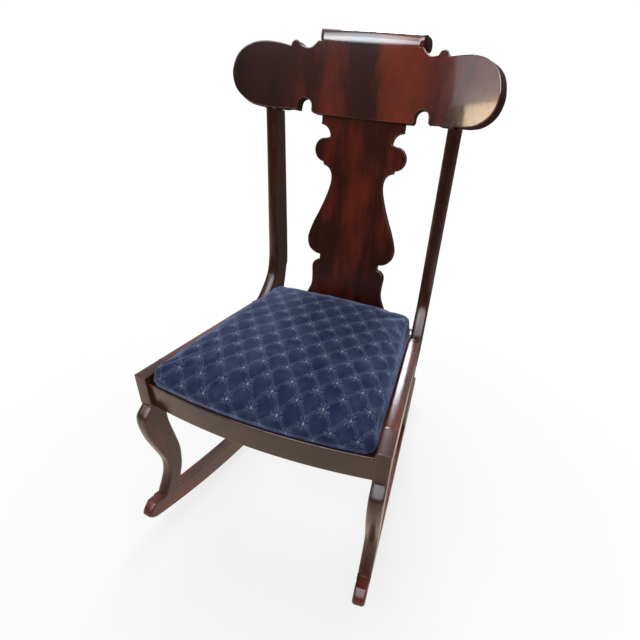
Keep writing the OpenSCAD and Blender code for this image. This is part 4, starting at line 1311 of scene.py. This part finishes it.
def white_world(level):
    """An even pale room: white to the camera. In the varnish it is dim before the chair, with a
    broad bright window high up there, and pale behind the chair."""
    n = Nodes(bpy.data.worlds.new("pale_room"))
    x, y, z = n.parts(n.make("ShaderNodeTexCoord", output="Generated"))
    high = z.scaled(0.6, y * 0.8)
    lit = n.make("ShaderNodeBackground", {
        "Color": (1.0, 0.98, 0.95), "Strength": high.step(-0.8, 0.9, 0.2 * level, 2.0 * level)})
    behind = y.step(-0.1, 0.5, 0.10, 0.7) * z.step(0.05, 0.35, 0.35, 1.0)
    window = (z.step(0.42, 0.5) * y.step(-0.3, 0.0, 6.0, 0.9) * z.step(0.8, 0.99, 1.0, 0.4)
              * x.step(-0.52, -0.36, 0.12, 1.0))
    seen = seen_white(n, lit, 1.0, behind.or_larger(window), (0.86, 0.94, 1.0))
    return n.end("ShaderNodeOutputWorld", seen)


def add_light(name, place, target, size, power, colour):
    """An oblong lamp that shines from its place to the target."""
    data = bpy.data.lights.new(name, "AREA")
    data.shape = "RECTANGLE"
    data.size, data.size_y = size
    data.energy = power
    data.color = colour
    lamp = bpy.data.objects.new(name, data)
    lamp.location = place
    lamp.rotation_mode = "QUATERNION"
    lamp.rotation_quaternion = (Vector(target) - Vector(place)).to_track_quat("-Z", "Y")
    bpy.context.scene.collection.objects.link(lamp)


def both_sides(*boards):
    """Builds boards of the chair's left and right sides. Each is given as its part's name,
    outline, thickness, the depth of its outer face and its finish."""
    for side, word in ((-1, "left"), (1, "right")):
        for part, outline, thickness, outer, finish in boards:
            piece = board(part + "_shaped_" + word, outline, thickness, in_side(side, outer))
            settle(piece, "chair", [part + "_" + word], finish)


class ROCKER_OT_rockers(bpy.types.Operator):
    """Builds the two rockers"""
    bl_idname = "rocker.rockers"
    bl_label = "Rockers"

    def execute(self, context):
        finish = mahogany("rocker_mahogany", "y", 0.05, dull=0.14)
        both_sides(("rocker", rocker_outline(), ROCKER_W, (BOARD_T - ROCKER_W) / 2, finish))
        return {"FINISHED"}


class ROCKER_OT_legs(bpy.types.Operator):
    """Builds the front and rear legs"""
    bl_idname = "rocker.legs"
    bl_label = "Legs"

    def execute(self, context):
        finish = mahogany("leg_mahogany", "z", -0.06, dull=0.14)
        both_sides(("front_leg", front_leg_outline(), BOARD_T, 0.0, finish),
                   ("rear_leg", rear_leg_outline(), BOARD_T, 0.0, finish))
        return {"FINISHED"}


class ROCKER_OT_sides(bpy.types.Operator):
    """Builds the side rails and the stiles"""
    bl_idname = "rocker.sides"
    bl_label = "Side rails and stiles"

    def execute(self, context):
        rail = mahogany("rail_mahogany", "y", 0.12)
        stile = mahogany("stile_mahogany", "z", -0.08, dull=0.08)
        both_sides(("side_rail", side_rail_outline(), BOARD_T, 0.0, rail),
                   ("stile", stile_outline(), STILE_W, -STILE_PROUD, stile))
        return {"FINISHED"}


class ROCKER_OT_rails(bpy.types.Operator):
    """Builds the bowed front rail and the back rail"""
    bl_idname = "rocker.rails"
    bl_label = "Front and back rails"

    def execute(self, context):
        finish = mahogany("front_rail_mahogany", "x", -0.14)
        front = board("front_rail_shaped", rail_outline(inner_half(2.0), FRONT_RAIL_H),
                      FRONT_RAIL_T, in_front_rail, spacing=9.0)
        settle(front, "chair", ["front_rail"], finish)
        half = SEAT_W / 2 - (STILE_W - STILE_PROUD) / math.cos(TOE) - BACK_RAIL_Y * math.tan(TOE)
        back = board("back_rail_shaped", rail_outline(half, BACK_RAIL_H), BACK_RAIL_T,
                     in_back_rail)
        settle(back, "chair", ["back_rail"], finish)
        return {"FINISHED"}


class ROCKER_OT_back(bpy.types.Operator):
    """Builds the crest rail, its scroll and the splat"""
    bl_idname = "rocker.back"
    bl_label = "Crest rail and splat"

    def execute(self, context):
        edge = sawn_edge("sawn_edge")
        crest = board("crest_rail_shaped", crest_outline(), CREST_T, on_crest, spacing=7.0,
                      wall=edge)
        veneer = mahogany("crest_mahogany", "z", 0.07, heart=True, coat=1.0)
        settle(crest, "chair", ["crest_rail"], veneer)
        scroll = scroll_piece("crest_scroll_shaped", edge)
        settle(scroll, "chair", ["crest_scroll"], veneer)
        splat = board("splat_shaped", splat_outline(), SPLAT_T, on_splat, wall=edge)
        settle(splat, "chair", ["splat"], mahogany("splat_mahogany", "z", 0.0))
        return {"FINISHED"}


def bowed(x):
    """Depth of the crest rail's face at x behind its depth in the middle."""
    return np.sqrt(CREST_R**2 - x**2) - CREST_R


def scroll_piece(name, end):
    """The scroll: a section of two half circles joined by flats, carried along a straight line
    between two ends that flare towards the back. Between the ends the front is a quarter
    ellipse that leaves the crest rail's face upright and rolls back over the top. Each end has
    a rounded rim, a shallow ring and a slight dome."""
    ball, n = SCROLL_H / 2, 96
    round_front = arc((ball, 0), ball, 90, 270, n // 2)
    round_back = arc((SCROLL_D - ball, 0), ball, -90, 90, n // 2)
    section = np.concatenate([round_front, round_back])
    front = section[:, 0] < ball + 1e-6
    half = np.linspace(0.9, 0.995, 16)
    f = np.concatenate([[-1.0], -half[::-1], np.linspace(-0.88, 0.88, 60), half, [1.0]])
    face = SCROLL_OVERHANG - 0.1 + bowed(f[:, None] * SCROLL_HALF)
    q, z = section[None, :, 0], section[None, :, 1]
    rise = np.clip((z / ball + 0.75) / 1.75, 0, 1)
    rolled = face + (ball - face) * (1 - np.sqrt(1 - rise**2))
    share = (1 - smooth_step(np.abs(f), 0.93, 0.985))[:, None] * front
    q = q * (1 - share) + rolled * share
    z = z + np.minimum(z, 0) * 0.2 * share
    x = f[:, None] * (SCROLL_HALF + q * math.tan(SCROLL_FLARE))
    grid = np.stack([x, q, np.broadcast_to(z, q.shape)], -1)
    middle = np.array([SCROLL_D / 2, 0.0])
    rings = ((0.96, 0.75), (0.91, 1.1), (0.80, 1.2), (0.77, 0.7), (0.73, 1.2), (0.45, 1.7),
             (0.15, 1.9))

    def end_ring(side, rim, shrink, out):
        """A ring of a flared end: the rim shrunk about its middle and moved out."""
        ring = middle + (rim[:, 1:] - middle) * shrink
        along = SCROLL_HALF + ring[:, 0] * math.tan(SCROLL_FLARE) + out - 1.2
        return np.column_stack([side * along, ring])
    rows = [end_ring(-1, grid[0], *ring) for ring in rings[::-1]]
    rows += [*grid] + [end_ring(1, grid[-1], *ring) for ring in rings]
    columns = len(section)
    verts = np.concatenate(rows)
    faces = strip(len(rows), columns).tolist()
    for row in (0, len(rows) - 1):
        ring = verts[row * columns:(row + 1) * columns]
        faces += [[row * columns + j, row * columns + (j + 1) % columns, len(verts)]
                  for j in range(columns)]
        verts = np.concatenate([verts, ring.mean(0)[None]])
    verts = leaned(verts[:, 0], verts[:, 1] - SCROLL_OVERHANG, verts[:, 2] + CREST_TOP + ball,
                   CREST_LEAN, FRONT_Y + CREST_Y, SEAT_H + CREST_Z)
    piece = make_mesh(name, verts, faces)
    row = np.array([min(face) // columns for face in faces])
    # Painted shade: the scroll's ends take the dark sawn-edge finish, which darkens them as shade
    # would.
    dark = (row < len(rings) - 1) | (row >= len(rows) - len(rings))
    piece.data.materials.append(None)
    piece.data.materials.append(end)
    piece.data.polygons.foreach_set("material_index", dark.astype(np.int32))
    return piece


class ROCKER_OT_seat(bpy.types.Operator):
    """Builds the upholstered pad of the drop-in seat"""
    bl_idname = "rocker.seat"
    bl_label = "Seat pad"

    def execute(self, context):
        pad = seat_pad("seat_pad_upholstered")
        swell(pad)
        lay_weave(pad)
        settle(pad, "drop_in_seat", ["seat_cover", "seat_padding"],
               jacquard("jacquard"))
        hem = seat_hem("seat_cover_hem")
        hem.data.materials.append(pad.data.materials[0])
        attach(hem, "drop_in_seat")
        return {"FINISHED"}


class ROCKER_OT_hidden(bpy.types.Operator):
    """Finishes the parts inside the chair that come straight from the frame"""
    bl_idname = "rocker.hidden"
    bl_label = "Inner parts"

    def execute(self, context):
        finishes = {
            bare_wood("bare_wood_across", "x"): [
                "slip_frame_front", "slip_frame_back", "corner_blocks", "rail_dowels"],
            bare_wood("bare_wood_deep", "y"): [
                "slip_frame_left", "slip_frame_right", "seat_ledge_left", "seat_ledge_right"],
            bare_wood("bare_wood_upright", "z"): ["leg_dowels", "crest_dowels"],
            metal("screw_steel", (0.42, 0.41, 0.40), 0.4): ["ledge_screws", "corner_screws"],
            metal("tack_steel", (0.12, 0.12, 0.13), 0.5): ["cover_tacks"],
            woven("jute_webbing", (0.50, 0.40, 0.26), 0.0022, stripe=0.026): [
                "webbing_lengthwise", "webbing_crosswise"],
            woven("burlap", (0.46, 0.36, 0.23), 0.0016): ["burlap_sheet"],
        }
        for material, names in finishes.items():
            for name in names:
                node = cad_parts[name]
                node.data.materials.clear()
                node.data.materials.append(material)
        return {"FINISHED"}


class ROCKER_PT_panel(bpy.types.Panel):
    """Sizes, colours and builders of the rocking chair"""
    bl_idname = "ROCKER_PT_panel"
    bl_label = "Rocking chair"
    bl_space_type = "VIEW_3D"
    bl_region_type = "UI"
    bl_category = "Rocking chair"

    def draw(self, context):
        layout = self.layout
        for name, group in GROUPS.items():
            box = layout.box()
            box.label(text=name.title())
            for key in group.__annotations__:
                box.prop(settings(name), key)
        for operator in OPERATORS:
            layout.operator(operator.bl_idname)


GROUPS = {"edges": ROCKER_PG_edges, "wood": ROCKER_PG_wood, "seat": ROCKER_PG_seat,
          "stage": ROCKER_PG_stage}
OPERATORS = (ROCKER_OT_stage, ROCKER_OT_rockers, ROCKER_OT_legs, ROCKER_OT_sides, ROCKER_OT_rails,
             ROCKER_OT_back, ROCKER_OT_seat, ROCKER_OT_hidden)


def register():
    for item in (*GROUPS.values(), *OPERATORS, ROCKER_PT_panel):
        bpy.utils.register_class(item)
    for name, group in GROUPS.items():
        setattr(bpy.types.Scene, "rocker_" + name, PointerProperty(type=group))


def unregister():
    for name in GROUPS:
        delattr(bpy.types.Scene, "rocker_" + name)
    for item in (ROCKER_PT_panel, *OPERATORS[::-1], *GROUPS.values()):
        bpy.utils.unregister_class(item)


def main():
    register()
    bpy.ops.rocker.stage()
    bpy.ops.rocker.rockers()
    bpy.ops.rocker.legs()
    bpy.ops.rocker.sides()
    bpy.ops.rocker.rails()
    bpy.ops.rocker.back()
    bpy.ops.rocker.seat()
    bpy.ops.rocker.hidden()


if __name__ == "__main__":
    main()
